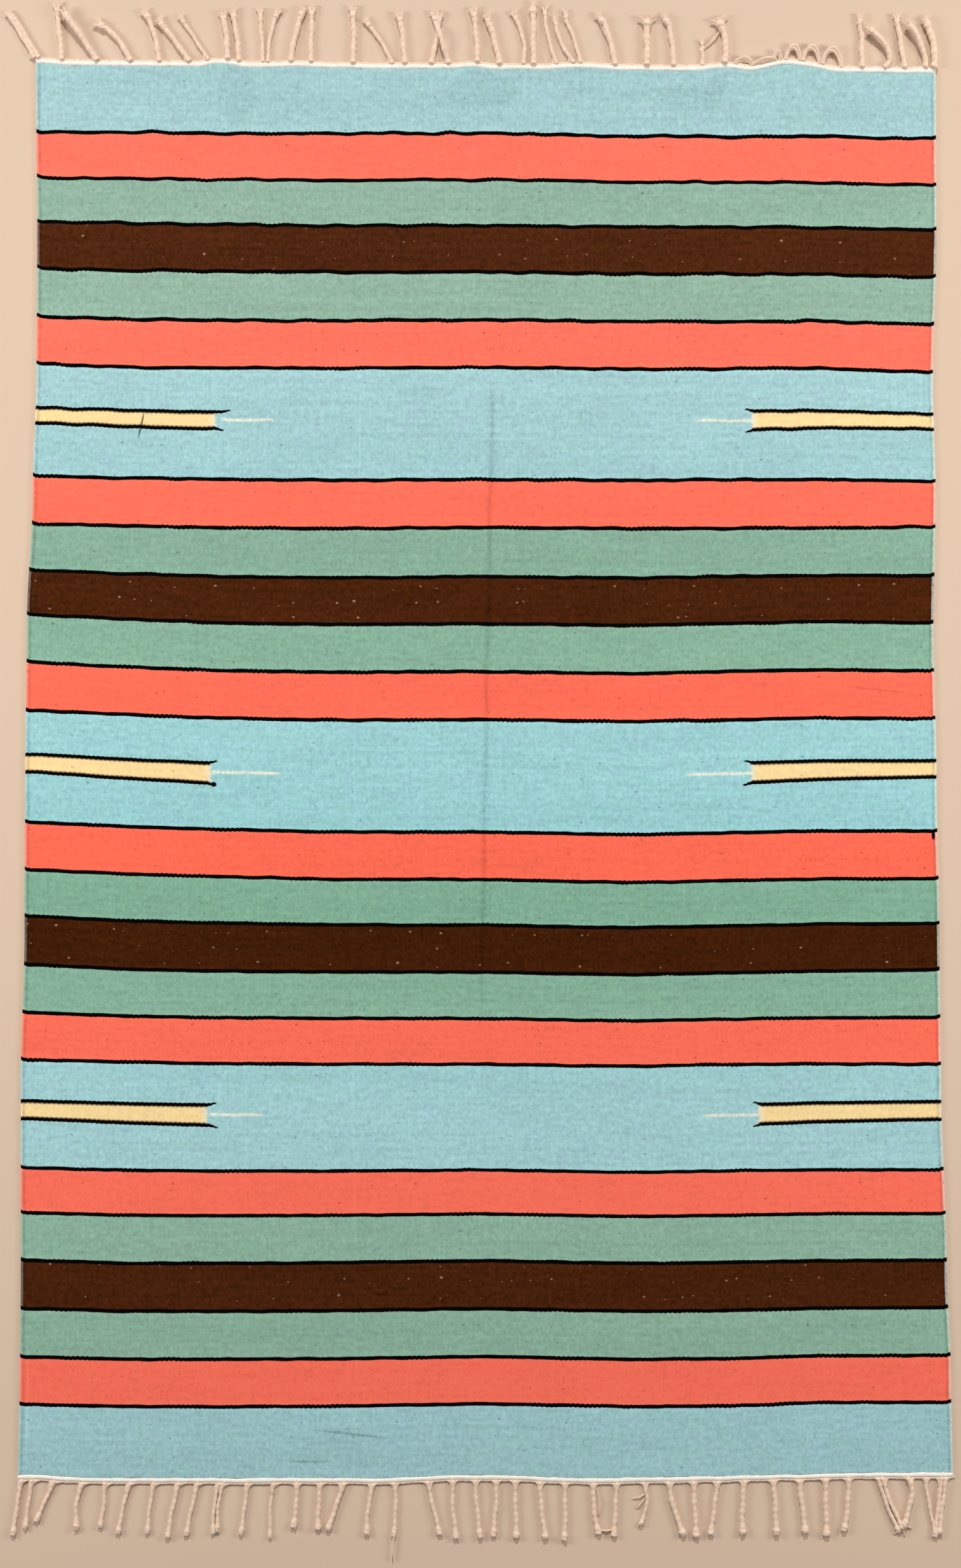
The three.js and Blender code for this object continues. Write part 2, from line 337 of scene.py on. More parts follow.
def foldLift(x, y):
    # the sum over the folds of lift x bell along the fold x bell across it
    lift = np.zeros(np.broadcast(x, y).shape)
    for fold in folds:
        turn = np.radians(fold["turn"])
        fromX = x - fold["x"] * mm
        fromY = y - fold["y"] * mm
        along = fromX * np.cos(turn) + fromY * np.sin(turn)
        across = fromY * np.cos(turn) - fromX * np.sin(turn)
        shape = bell(2 * along / (fold["long"] * mm)) * bell(2 * across / (fold["wide"] * mm))
        lift = lift + fold["lift"] * mm * shape
    return lift


def weftBow(x, along):
    # the bow table read between its rows and columns, easing into the line of each woven end
    table = np.array([row["bows"] for row in weftBows]) * mm
    rowPlaces = column(weftBows, "y")
    left, acrossShare = between(x, np.array(bowPlaces) * mm)
    above, downShare = between(-along, -rowPlaces)
    upper = table[above, left] * (1 - acrossShare) + table[above, left + 1] * acrossShare
    lower = table[above + 1, left] * (1 - acrossShare) + table[above + 1, left + 1] * acrossShare
    bow = upper + (lower - upper) * downShare
    middle = rugCloth["middle"]
    for end, line in (("far", rowPlaces[0]), ("near", rowPlaces[-1])):
        share = np.clip((along - line) / (endAt(end, middle) - line), 0, 1)
        bow = bow + (endAt(end, x) - endAt(end, middle) - bow) * share
    return bow


def creaseShape(x, y):
    # exp of minus the squared distance from a slightly wandering line, fading past the line's two ends
    far = centreCrease["far"]
    near = centreCrease["near"]
    line = far["x"] + (near["x"] - far["x"]) * (far["y"] - y) / (far["y"] - near["y"])
    line = line + centreCrease["wander"] * np.sin(y / centreCrease["wanderLength"])
    fading = smooth((far["y"] + far["past"] - y) / far["fade"])
    fading = fading * smooth((y - near["y"] + near["past"]) / near["fade"])
    return fading * np.exp(-(((x - line) / centreCrease["width"]) ** 2))


def wovenKnots():
    # the along places of the far edge, the 24 outlines and the near edge
    lines = [value * mm for group in outlineGroups for value in group]
    middle = rugCloth["middle"]
    return np.array([endAt("far", middle), *lines, endAt("near", middle)])


def wovenRows(knots):
    # the along places of the grid's rows, with a row on every outline and one just inside each woven end
    spaces = range(len(knots) - 1)
    counts = [rugCloth["fieldRows"] if number % 6 == 0 else rugCloth["stripeRows"] for number in spaces]
    counts[0] = counts[-1] = rugCloth["endRows"]
    parts = [np.linspace(knots[i], knots[i + 1], counts[i], endpoint=False) for i in spaces]
    inside = np.array([knots[0] - rugCloth["edgeStep"], knots[-1] + rugCloth["edgeStep"]])
    return np.sort(np.concatenate([*parts, inside, knots[-1:]]))[::-1]


def bandNumbers(along, knots):
    # 1 at the first outline, 2 at the second and so on, straight in between
    numbers = np.arange(len(knots), dtype=float)
    numbers[0] = 1 - (knots[0] - knots[1]) / rugCloth["fieldHeight"]
    numbers[-1] = numbers[-2] + (knots[-2] - knots[-1]) / rugCloth["fieldHeight"]
    return np.interp(-along, -knots, numbers)


def woolValues(along, knots, copies, bleach):
    # the stripe number and the values of the dye lots and painted light at each along place, each given so
    # many times in a row
    values = {"bandNumber": bandNumbers(along, knots)}
    for name in ("light", "fresh", "brown"):
        values[name] = np.interp(-along, -column(dyeLotsAndPaintedLight, "along"), column(dyeLotsAndPaintedLight, name) / mm)
    values["bleach"] = np.full(len(along), bleach)
    return {name: np.repeat(value, copies) for name, value in values.items()}


def warpShares():
    # places from 0 to 1 across the rug, closer together beside the crease and the sides
    width = rugCloth["wovenWidth"]
    step = rugCloth["fineStep"]
    side = np.arange(0, rugCloth["fineSide"], step)
    crease = np.arange(*rugCloth["fineCrease"], step) + width / 2
    coarse = np.arange(0, width, rugCloth["warpStep"])
    inCrease = (coarse > crease[0] - step) & (coarse < crease[-1] + step)
    inSide = np.minimum(coarse, width - coarse) < side[-1] + step
    return np.sort(np.concatenate([coarse[~(inCrease | inSide)], crease, side, width - side])) / width


def layCloth(share, along, inset=0.0):
    # x runs from side to side by its share; y is the along place, plus the weft's bow and its small waves
    left = sideAt(along, "left") + inset
    right = sideAt(along, "right") - inset
    x = left[:, None] + (right - left)[:, None] * share[None, :]
    along = along[:, None]
    y = along + weftBow(x, along)
    ends = (endAt(end, rugCloth["middle"]) for end in endLines)
    fromEnds = np.minimum(*(np.abs(end - along) for end in ends))
    held = smooth(fromEnds / rugCloth["heldEnd"])
    stretch = 0.45  # the wefts' waves reach farther along the rug than across it
    wave = waves(x, y * stretch, "weft")
    return x, y + rugCloth["scallop"] * fromNear(along, 0.2, 0.15) * held * wave


def clothTop(x, y):
    # the thickness, plus the folds and a slight cockling that is stronger at the far end, less the crease
    cockle = rugCloth["cockle"] * waves(x, y, "cockle") * fromNear(y, 0.3, 0.35)
    return rugCloth["thickness"] + foldLift(x, y) + cockle - centreCrease["depth"] * creaseShape(x, y)


def gridFaces(rows, columns, start=0, turned=False):
    # the four-cornered faces of a grid of points stored row by row
    r, c = np.meshgrid(np.arange(rows - 1), np.arange(columns - 1), indexing="ij")
    a = start + r * columns + c
    faces = np.stack([a, a + columns, a + columns + 1, a + 1], -1).reshape(-1, 4)
    return faces[:, ::-1] if turned else faces


def tubeFaces(rings, sides, start=0):
    # the walls of a tube stored ring by ring, and four-cornered faces over each end
    r, c = np.meshgrid(np.arange(rings - 1), np.arange(sides), indexing="ij")
    a = start + r * sides + c
    b = start + r * sides + (c + 1) % sides
    walls = np.stack([a, b, b + sides, a + sides], -1).reshape(-1, 4)
    half = np.arange(sides // 2 - 1)
    first = start + np.stack([half, sides - 1 - half, sides - 2 - half, half + 1], -1)
    last = first[:, ::-1] + (rings - 1) * sides
    return np.concatenate([walls, first, last])


def yarnGrid(across, along, shape):
    # the yarns' places at a grid of points, as one list of pairs
    return np.stack([np.broadcast_to(across, shape), np.broadcast_to(along, shape)], -1).reshape(-1, 2)


def meshPiece(name, points, faces, uvs, **values):
    # a smooth mesh of four-cornered faces; the yarns' places are its UV map, and each value is an attribute
    mesh = bpy.data.meshes.new(name)
    mesh.vertices.add(len(points))
    mesh.vertices.foreach_set("co", np.asarray(points, np.float32).ravel())
    mesh.loops.add(faces.size)
    mesh.loops.foreach_set("vertex_index", faces.astype(np.int32).ravel())
    mesh.polygons.add(len(faces))
    mesh.polygons.foreach_set("loop_start", np.arange(0, faces.size, 4, dtype=np.int32))
    mesh.update(calc_edges=True)
    mesh.polygons.foreach_set("use_smooth", np.ones(len(faces), bool))
    layer = mesh.uv_layers.new(name="yarns")
    layer.data.foreach_set("uv", np.asarray(uvs, np.float32)[faces.ravel()].ravel())
    for title, value in values.items():
        attribute = mesh.attributes.new(title, "FLOAT", "POINT")
        attribute.data.foreach_set("value", np.asarray(value, np.float32).ravel())
    mesh.validate()
    piece = bpy.data.objects.new(name, mesh)
    bpy.context.scene.collection.objects.link(piece)
    return piece


# Selvedge: the outermost warps, with the wefts turning round them in small nubs.
selvedge = {
    "radius": 2.3 * mm,
    "turnStep": 2.9 * mm,  # from one weft turn to the next
    "nub": 0.28 * mm,
    "uneven": 0.1 * mm,
    "lie": 0.92,  # how high its middle lies, as a share of its radius
    "flatness": 0.85,
    "bleach": {"left": 0.15, "right": 0.5},  # how far the dye has faded to the pale colour
    "sides": 10,
    "ringsPerTurn": 3,
}


def makeCloth():
    # an upper and a lower grid of the same woven places, joined along their rim
    knots = wovenKnots()
    along = wovenRows(knots)
    share = warpShares()
    inset = selvedge["radius"] * 1.5
    x, y = layCloth(share, along, inset)
    top = clothTop(x, y)
    bottom = np.clip(top - rugCloth["thickness"], 0, None)
    rows, columns = x.shape
    count = rows * columns
    points = np.concatenate([np.stack([x, y, z], -1).reshape(-1, 3) for z in (top, bottom)])
    across = (share - 0.5) * (rugCloth["wovenWidth"] - 2 * inset)
    uvs = np.tile(yarnGrid(across, along[:, None], x.shape), (2, 1))
    values = woolValues(along, knots, columns, 0.0)
    # the centre crease's share at each point, which the wool darkens as painted shade
    values["crease"] = creaseShape(x, y).ravel()
    values = {name: np.tile(value, 2) for name, value in values.items()}
    index = np.arange(count).reshape(rows, columns)
    ring = np.concatenate([index[:, 0], index[-1, 1:], index[::-1, -1][1:], index[0, ::-1][1:-1]])
    following = np.roll(ring, -1)
    rim = np.stack([ring, ring + count, following + count, following], -1)
    faces = np.concatenate([gridFaces(rows, columns), gridFaces(rows, columns, count, turned=True), rim])
    return meshPiece("woven_cloth", points, faces, uvs, **values)


def makeSelvedge(side):
    # a tube along the side, whose radius swells by nub x |sin| at every weft turn
    knots = wovenKnots()
    sign = -1 if side == "left" else 1
    rings = int((knots[0] - knots[-1]) / selvedge["turnStep"] * selvedge["ringsPerTurn"])
    along = np.linspace(knots[0], knots[-1], rings)
    x, y = layCloth(np.array([0.5 + 0.5 * sign]), along)
    radius = selvedge["radius"] - 2 * selvedge["nub"] + selvedge["uneven"] * waves(along, 0, side)
    radius = radius + selvedge["nub"] * np.abs(np.sin(pi * along / selvedge["turnStep"]))
    turn = np.linspace(0, 2 * pi, selvedge["sides"], endpoint=False)
    px = x - sign * selvedge["radius"] + radius[:, None] * np.cos(turn)
    pz = foldLift(x, y) + selvedge["lie"] * selvedge["radius"]
    pz = np.clip(pz + selvedge["flatness"] * radius[:, None] * np.sin(turn), 0, None)
    points = np.stack([px, np.broadcast_to(y, px.shape), pz], -1).reshape(-1, 3)
    across = sign * (rugCloth["wovenWidth"] / 2 - selvedge["radius"] * (1 - sign * np.cos(turn)))
    values = woolValues(along, knots, selvedge["sides"], selvedge["bleach"][side])
    faces = tubeFaces(rings, selvedge["sides"])
    return meshPiece(f"selvedge_{side}", points, faces, yarnGrid(across, along[:, None], px.shape), **values)


cloth = makeCloth()
selvedges = {side: makeSelvedge(side) for side in ("left", "right")}
print("stage: cloth woven,", len(cloth.data.polygons), "faces")

# Fringe: one row for a cord. Its root along the end, how far its tip leans sideways and reaches outwards,
# how far it bows sideways at the share bowAt of that reach, its kind, and how far its tip hooks over. What
# a row leaves out is a straight, plain cord's: see cordRows.
cordColumns = "root lean reach bow bowAt kind hook"
farCords = named(
    cordColumns,
    [-592, -34, 55, 0, 0.5, "double"],
    [-558, -7, 69],
    [-511, -44, 62, 0, 0.55, "raised"],
    [-466, -41, 49, 5, 0.57, "cord", -3],
    [-428, -17, 63, 2, 0.5, "cord", -2],
    [-388, -40, 52],
    [-363, -36, 53, 0, 0.5, "thin"],
    [-337, -6, 57, 1],
    [-322, -8, 63, 1],
    [-290, -4, 65, 0, 0.5, "thin"],
    [-284, 13, 65, -3, 0.55, "thin"],
    [-253, 16, 66, -2],
    [-226, 1, 68],
    [-170, 0, 69, 1],
    [-117, -35, 54, 2, 0.55, "thin"],
    [-101, -7, 62, 1],
    [-66, 11, 62, 2],
    [-42, -20, 63, -1, 0.5, "over"],
    [-4, -5, 66, 1],
    [26, -17, 61, 1],
    [57, -12, 64, 6, 0.47, "thin"],
    [71, -1, 77],
    [102, -16, 71, -4, 0.48, "thin"],
    [125, -25, 55, -6, 0.5, "thin"],
    [134, -24, 64, 2, 0.5, "thin", 4],
    [180, -17, 62, 1, 0.5, "cord", -5],
    [222, 0, 61, 0, 0.5, "fat"],
    [258, -8, 62, 1, 0.5, "cord", -5],
    [296, 0, 28, 0, 0.5, "thin"],
    [325, -7, 56, 5, 0.45, "fat"],
    [341, 21, 8, 0, 0.5, "loop"],
    [364, 30, 4, 0, 0.5, "loop"],
    [391, 9, 9, 0, 0.5, "loop"],
    [408, 18, 16, 0, 0.5, "loop"],
    [431, 21, 18, 0, 0.5, "loop"],
    [457, 24, 21, 0, 0.5, "loop"],
    [509, -3, 64, 1],
    [538, -20, 50, 14, 0.38, "raised"],
    [566, -11, 65],
    [593, -21, 56, 5, 0.4, "raised", -2],
    [604, -10, 62, 5, 0.4, "wide"],
)
nearCords = named(
    cordColumns,
    [-612, -12, 74, -1, 0.45],
    [-599, -9, 65],
    [-569, -25, 54],
    [-530, -9, 62, -5, 0.42],
    [-502, -6, 59, 2, 0.47],
    [-467, -17, 67, -2, 0.35],
    [-436, -9, 67, -1, 0.4],
    [-403, -15, 73, -1, 0.4],
    [-377, -16, 70, -1, 0.4],
    [-346, -8, 66, -3, 0.42, "double"],
    [-312, -8, 68, 1, 0.4],
    [-276, -5, 73, -2, 0.4, "thin"],
    [-246, -4, 59, 2, 0.47],
    [-213, -4, 62, -1, 0.45],
    [-182, -22, 62],
    [-142, -10, 68, -3, 0.4],
    [-116, 0, 71, 3, 0.4, "tailed"],
    [-71, 17, 71],
    [-37, 5, 78, -2],
    [-7, 7, 77, -1],
    [20, -3, 75, 2, 0.35],
    [46, 2, 77],
    [79, 8, 76, -1, 0.4],
    [112, 0, 77, 1, 0.4],
    [151, 7, 68, -3],
    [182, -4, 71],
    [217, -4, 56, 7, 0.48, "thin"],
    [251, 21, 71, -3],
    [284, 4, 74],
    [317, -10, 71],
    [353, -3, 72, -2, 0.45],
    [390, 5, 73, 1, 0.45],
    [425, 9, 71],
    [460, 2, 76],
    [491, -6, 70, 2],
    [533, 29, 70, -2, 0.5, "double"],
    [569, -5, 66, 8, 0.35],
    [594, 14, 74, -2, 0.4, "thin"],
    [618, -9, 77, 0, 0.4, "double"],
)

# Cords: two plies twisted together, a knot near the tip and a short tuft past it.
cordStyle = {
    "rings": 64,
    "sides": 12,
    "seed": 5,
    "rootOut": 8.3 * mm,  # from the cloth's edge to where a cord leaves the heading
    "rootDepth": 1.2 * mm,
    "rootRise": 1.1 * mm,
    "radii": {"cord": 3.5, "thin": 2.4, "double": 3.0, "fat": 4.2, "loop": 1.8, "over": 3.3,
              "tailed": 3.2, "raised": 3.6, "wide": 4.3},
    "slim": {"far": (1, 1), "near": (0.72, 0.95)},  # the radius's share at the left and right side
    "lie": 0.93,  # how high a cord's middle lies, as a share of its radius
    "wander": 0.5 * mm,
    "hookFrom": 0.8,  # the share of its reach at which a hooked tip turns
    "overRise": 5.4 * mm,  # how high a cord climbs that crosses over another
    "overAt": 0.47,
    "overHalf": 0.42,
    "raisedTip": 5.5 * mm,  # how high the tip of a cord lies that rests on others
    "raisedAt": 0.8,
    "archRise": 5 * mm,
    "twist": 17 * mm,  # length of one full turn of the two plies
    "plyGroove": 0.04,
    "lumps": 0.06,
    "lumpLengths": (9 * mm, 23 * mm),
    "tipRound": 2.2 * mm,
    "strands": {  # kinds of several strands: their places beside each other, and how their reach differs
        "double": {"places": (-0.5, 0.5), "apart": 5.6 * mm, "reachStep": -0.05},
        "loop": {"places": (-0.5, 0.5), "apart": 2.2 * mm, "reachStep": 0.2},
    },
}
knotStyle = {
    "length": 12 * mm,
    "swell": {"far": 0.28, "near": 0.38},
    "fatSwell": 0.35,  # how much more a fat cord's knot swells
    "wrap": 0.07,
    "wrapLength": 6 * mm,
}

# Warp ends that run into a cord's neck. They start inside the heading, which their threads leave sideways.
rootStyle = {
    "threads": 9,
    "rings": 9,
    "radius": 1.05 * mm,
    "height": 1.7 * mm,
    "inside": 1.6 * mm,
    "uneven": 0.5 * mm,
    "neckWidth": 1.3,  # the width of all threads at the neck, in radii of the cord
    "neckRise": 0.7 * mm,
    "bend": 2.6,
}

# Yarn ends past a knot: they part from it so many rings before the tip and splay out.
tuftStyle = {
    "threads": 12,
    "rings": 6,
    "partRings": 7,
    "reach": {"far": (2.5, 5.5), "near": (-1.5, 1)},
    "radius": 1.15 * mm,
    "taper": 0.3,
    "splay": 0.6,  # how far an end goes sideways for its reach
    "fatSplay": 9 * mm,
    "fatReach": 0.6,
    "tails": 2,
    "tailReach": 30 * mm,
    "tailFan": 0.12,
}

# How far to the left and right of a cord its warp ends come from, and how far out they have gathered,
# for the cords whose root is beyond a place.
gathers = named(
    "end beyond left right neck",
    ["far", -999, 6, 6, 9],
    ["near", -999, 2, 18, 15],
    ["near", -250, 11, 12, 13],
)


def cordRows(end):
    # the table's rows as named values in metres, with one row for each strand of a double cord or a loop
    rng = np.random.default_rng(cordStyle["seed"] + len(end))
    rows = []
    for values in {"far": farCords, "near": nearCords}[end]:
        row = {"bow": 0, "bowAt": 0.5, "kind": "cord", "hook": 0, **values}
        for name in ("root", "lean", "reach", "bow", "hook"):
            row[name] = row[name] * mm
        slim = np.interp(row["root"], [clothLow.x, clothHigh.x], cordStyle["slim"][end])
        row["radius"] = cordStyle["radii"][row["kind"]] * mm * rng.uniform(0.92, 1.08) * slim
        beyond = [each for each in gathers if each["end"] == end and row["root"] > each["beyond"] * mm]
        row["gather"] = beyond[-1]
        row["phase"] = rng.uniform(0, 2 * pi)
        single = {"places": (0,), "apart": 0, "reachStep": 0}
        strands = cordStyle["strands"].get(row["kind"], single)
        for place in strands["places"]:
            root = row["root"] + place * strands["apart"]
            reach = row["reach"] * (1 + strands["reachStep"] * place)
            phase = row["phase"] + 2 * place
            rows.append({**row, "place": place, "root": root, "reach": reach, "phase": phase})
    return rows


def rowValues(rows, *names):
    # the named values of every cord, each as a column
    columns = [np.array([row[name] for row in rows], float)[:, None] for name in names]
    return columns if len(names) > 1 else columns[0]


def isKind(rows, kind):
    return np.array([row["kind"] == kind for row in rows])[:, None]


def cordCentres(end, rows):
    # out = reach x t; sideways = lean x t + bow x sin(pi t to the power that peaks it at bowAt) + the hook
    t = np.linspace(0, 1, cordStyle["rings"])[None, :]
    root, lean, reach, bow, bowAt, hook = rowValues(rows, "root", "lean", "reach", "bow", "bowAt", "hook")
    radius, place, phase = rowValues(rows, "radius", "place", "phase")
    looped = isKind(rows, "loop")
    middle = np.sin(pi * t)
    wander = cordStyle["wander"] * np.sin(2 * pi * t * 1.7 + phase) * middle
    bowed = lean * t + bow * np.sin(pi * t ** (np.log(0.5) / np.log(bowAt))) + wander
    bowed = bowed + hook * smooth((t - cordStyle["hookFrom"]) / (1 - cordStyle["hookFrom"])) ** 2
    x = root + np.where(looped, lean * smooth(t), bowed)
    arch = reach * middle - cordStyle["rootDepth"] * np.abs(1 - 2 * t)
    out = np.where(looped, arch, reach * t - cordStyle["rootDepth"] * (1 - t) ** 3)
    edge = endAt(end, np.where(looped, x, root))
    z = radius * cordStyle["lie"] + cordStyle["rootRise"] * np.exp(-t * 12)
    crossing = bell((t - cordStyle["overAt"]) / cordStyle["overHalf"])
    z = z + isKind(rows, "over") * cordStyle["overRise"] * crossing
    z = z + isKind(rows, "raised") * cordStyle["raisedTip"] * smooth(t / cordStyle["raisedAt"])
    z = z + looped * (cordStyle["archRise"] + place * mm) * middle
    return np.stack([x, edge + endLines[end]["outward"] * (cordStyle["rootOut"] + out), z], -1)


def sweepTubes(centres, radius, sides):
    # rings round each path: centre + radius x (sideways x cos + up x sin), held above the floor
    travel = np.gradient(centres, axis=1)
    travel = travel / np.linalg.norm(travel, axis=-1, keepdims=True)
    side = np.stack([-travel[..., 1], travel[..., 0], 0 * travel[..., 0]], -1)
    side = side / np.linalg.norm(side, axis=-1, keepdims=True)
    up = np.cross(travel, side)
    turn = np.linspace(0, 2 * pi, sides, endpoint=False)[:, None]
    offset = side[:, :, None] * np.cos(turn) + up[:, :, None] * np.sin(turn)
    points = centres[:, :, None] + radius[..., None] * offset
    points[..., 2] = np.clip(points[..., 2], 0.02 * mm, None)
    return points


def lengthsAlong(centres):
    # distance travelled along each path
    steps = np.linalg.norm(np.diff(centres, axis=1), axis=-1)
    return np.concatenate([np.zeros((len(centres), 1)), np.cumsum(steps, 1)], 1)


def tubeParts(points, along, groove):
    # points, faces, (around, along) places and groove depths of a stack of tubes; around runs from 0 to 10 mm
    # over the upper half of a tube and back again under it
    tubes, rings, sides = points.shape[:3]
    faces = np.concatenate([tubeFaces(rings, sides, tube * rings * sides) for tube in range(tubes)])
    turn = np.linspace(0, 2, sides, endpoint=False)
    uvs = yarnGrid(10 * mm * np.minimum(turn, 2 - turn), along[..., None], points.shape[:3])
    return points.reshape(-1, 3), faces, uvs, np.broadcast_to(groove, points.shape[:3]).ravel()


def joinedTubes(name, parts):
    # several stacks of tubes as one mesh
    starts = np.cumsum([0] + [len(part[0]) for part in parts[:-1]])
    faces = np.concatenate([part[1] + start for part, start in zip(parts, starts)])
    points, uvs, groove = (np.concatenate([part[i] for part in parts]) for i in (0, 2, 3))
    return meshPiece(name, points, faces, uvs, groove=groove)


def cordBodies(end, rows):
    # radius = cord radius x two ply lobes x small lumps, swelling to a soft knot and closing at the tip
    centres = cordCentres(end, rows)
    along = lengthsAlong(centres)
    fromTip = along[:, -1:] - along
    knotted = ~isKind(rows, "loop")
    inKnot = knotted * bell((0.5 - fromTip / knotStyle["length"]) / 0.8)
    swell = 1 + knotStyle["swell"][end] * (1 + knotStyle["fatSwell"] * isKind(rows, "fat")) * inKnot
    closing = np.where(knotted, np.sqrt(np.clip(fromTip / cordStyle["tipRound"], 0.02, 1)), 1)
    radius, phase = rowValues(rows, "radius", "phase")
    short, long = cordStyle["lumpLengths"]
    lumps = np.sin(2 * pi * along / short + 3 * phase) + np.sin(2 * pi * along / long + phase)
    thickness = (radius * swell * closing * (1 + cordStyle["lumps"] * lumps))[..., None]
    turn = np.linspace(0, 2 * pi, cordStyle["sides"], endpoint=False)
    twisted = 2 * pi * along[..., None]
    phase = phase[..., None]
    groove = 1 - np.abs(np.cos(turn - twisted / cordStyle["twist"] - phase)) ** 0.7
    wrap = knotStyle["wrap"] * np.cos(turn + twisted / knotStyle["wrapLength"] + phase)
    share = inKnot[..., None]
    shape = (1 - cordStyle["plyGroove"] * groove) * (1 - share) + (1 + wrap) * share
    points = sweepTubes(centres, thickness * shape, cordStyle["sides"])
    return tubeParts(points, along, groove * (1 - share) + np.clip(-3 * wrap, 0, 1) * share)


def threadParts(paths, radius, sides=6):
    # thin plain tubes along paths
    spread = np.broadcast_to(radius[..., None], (*paths.shape[:2], sides))
    return tubeParts(sweepTubes(paths, spread, sides), lengthsAlong(paths), 0.0)


def rootThreads(end, rows):
    # warp ends that run in along the heading and bend into a cord's neck: x moves early and y late
    rng = np.random.default_rng(cordStyle["seed"] + 3)
    rooted = [row for row in rows if row["kind"] != "loop"]
    centres = cordCentres(end, rooted)
    gathered = [row["gather"] for row in rooted]
    left, right, neck = (column(gathered, name)[:, None] for name in ("left", "right", "neck"))
    neckRing = np.argmin(np.abs(lengthsAlong(centres) - neck), axis=1)
    necks = centres[np.arange(len(rooted)), neckRing]
    share = np.linspace(0, 1, rootStyle["threads"])[None, :]
    spread = rng.normal(0, rootStyle["uneven"], (len(rooted), rootStyle["threads"]))
    rootX = rowValues(rooted, "root") - left + (left + right) * share + spread
    inside = cordStyle["rootOut"] - rootStyle["inside"]
    rootY = endAt(end, rootX) + endLines[end]["outward"] * inside
    start = np.stack([rootX, rootY, np.full(rootX.shape, rootStyle["height"])], -1)[:, :, None]
    inner = (share - 0.5) * rootStyle["neckWidth"] * rowValues(rooted, "radius")
    finish = necks[:, None] + np.stack([inner, 0 * inner, 0 * inner + rootStyle["neckRise"]], -1)
    share = np.linspace(0, 1, rootStyle["rings"])[:, None]
    eased = np.concatenate([1 - (1 - share) ** rootStyle["bend"], share ** 2, share], -1)
    paths = (start + (finish[:, :, None] - start) * eased).reshape(-1, len(share), 3)
    return threadParts(paths, np.full(paths.shape[:2], rootStyle["radius"]))


def tuftThreads(end, rows):
    # blunt yarn ends that splay out of each knot: widely on a fat cord, and some of them long on a tailed one
    rng = np.random.default_rng(cordStyle["seed"] + 9)
    tipped = [row for row in rows if row["kind"] != "loop"]
    centres = cordCentres(end, tipped)
    parting = centres[:, -1 - tuftStyle["partRings"]]
    heading = (centres[:, -1] - parting)[:, None, None]
    parting = parting[:, None, None]
    inKnot = np.linalg.norm(heading, axis=-1, keepdims=True)
    heading = heading / inKnot
    side = np.stack([-heading[..., 1], heading[..., 0], 0 * heading[..., 0]], -1)
    shape = (len(tipped), tuftStyle["threads"], 1)
    fan = rng.uniform(-1, 1, shape)
    reach = rng.uniform(*tuftStyle["reach"][end], shape) * mm
    long = isKind(tipped, "tailed")[..., None] & (np.arange(shape[1]) < tuftStyle["tails"])[:, None]
    reach = np.where(long, tuftStyle["tailReach"], reach)
    fan = np.where(long, tuftStyle["tailFan"], fan)
    fat = isKind(tipped, "fat")[..., None]
    wide = np.where(fat, tuftStyle["fatSplay"], tuftStyle["splay"] * reach)
    reach = np.where(fat, tuftStyle["fatReach"] * reach, reach)
    share = np.linspace(0, 1, tuftStyle["rings"])
    radius = rowValues(tipped, "radius")[..., None]
    forward = ((inKnot[..., 0] + reach) * share)[..., None]
    sideways = (fan * (0.9 * radius + wide * share ** 2.5))[..., None]
    paths = parting + forward * heading + sideways * side
    rise = rng.uniform(0.2, 1.0, shape)
    paths[..., 2] = parting[..., 2] + radius * (0.2 + 0.8 * rise * (1 - 0.4 * share))
    paths = paths.reshape(-1, len(share), 3)
    taper = (1 - tuftStyle["taper"] * share) * tuftStyle["radius"]
    return threadParts(paths, np.broadcast_to(taper, paths.shape[:2]))


# Loose yarn that lies across the fringe, from one place to another.
looseYarns = named(
    "end fromX fromY toX toY bow radius",
    ["far", 297, 966, 322, 996, 3, 1.0],
    ["far", 178, 968, 160, 1001, -2, 1.1],
    ["near", 160, -1011, 177, -1010, 0, 1.2],
    ["near", 154, -953, 158, -992, 3, 0.9],
    ["near", 220, -962, 203, -969, 1, 0.9],
    ["near", 219, -969, 209, -982, -1, 0.9],
    ["near", 217, -990, 213, -1010, 1, 0.8],
    ["near", 560, -1004, 553, -1016, 1, 1.0],
    ["near", 563, -1002, 575, -1008, 1, 1.0],
    ["near", 562, -1002, 566, -1019, 1, 1.0],
)


def looseParts(end):
    # straight lines with a sideways bow, a little above the floor
    share = np.linspace(0, 1, 16)
    middle = np.sin(pi * share)
    paths = []
    radii = []
    for row in looseYarns:
        if row["end"] == end:
            x = row["fromX"] + (row["toX"] - row["fromX"]) * share + row["bow"] * middle
            y = row["fromY"] + (row["toY"] - row["fromY"]) * share
            paths.append(np.stack([x, y, row["radius"] + 2.5 * middle], -1) * mm)
            radii.append(np.full(len(share), row["radius"] * mm))
    return threadParts(np.array(paths), np.array(radii))


# Heading: a twined row of white yarn against the cloth, and a thinner row that the cords come out of.
headingStyle = {
    "step": 0.9 * mm,
    "sides": 12,
    "parting": 0.1 * mm,
    "short": 0.8 * mm,  # how far it stops before each side
    "uneven": 0.3 * mm,
    "twined": {"out": 3.1, "halfWidth": 3.3, "halfHeight": 2.0, "twine": 5.2, "groove": 0.07, "uneven": 0.12},
    "outer": {"out": 6.9, "halfWidth": 2.1, "halfHeight": 1.5, "twine": 7.5, "groove": 0.14, "uneven": 0.2},
}


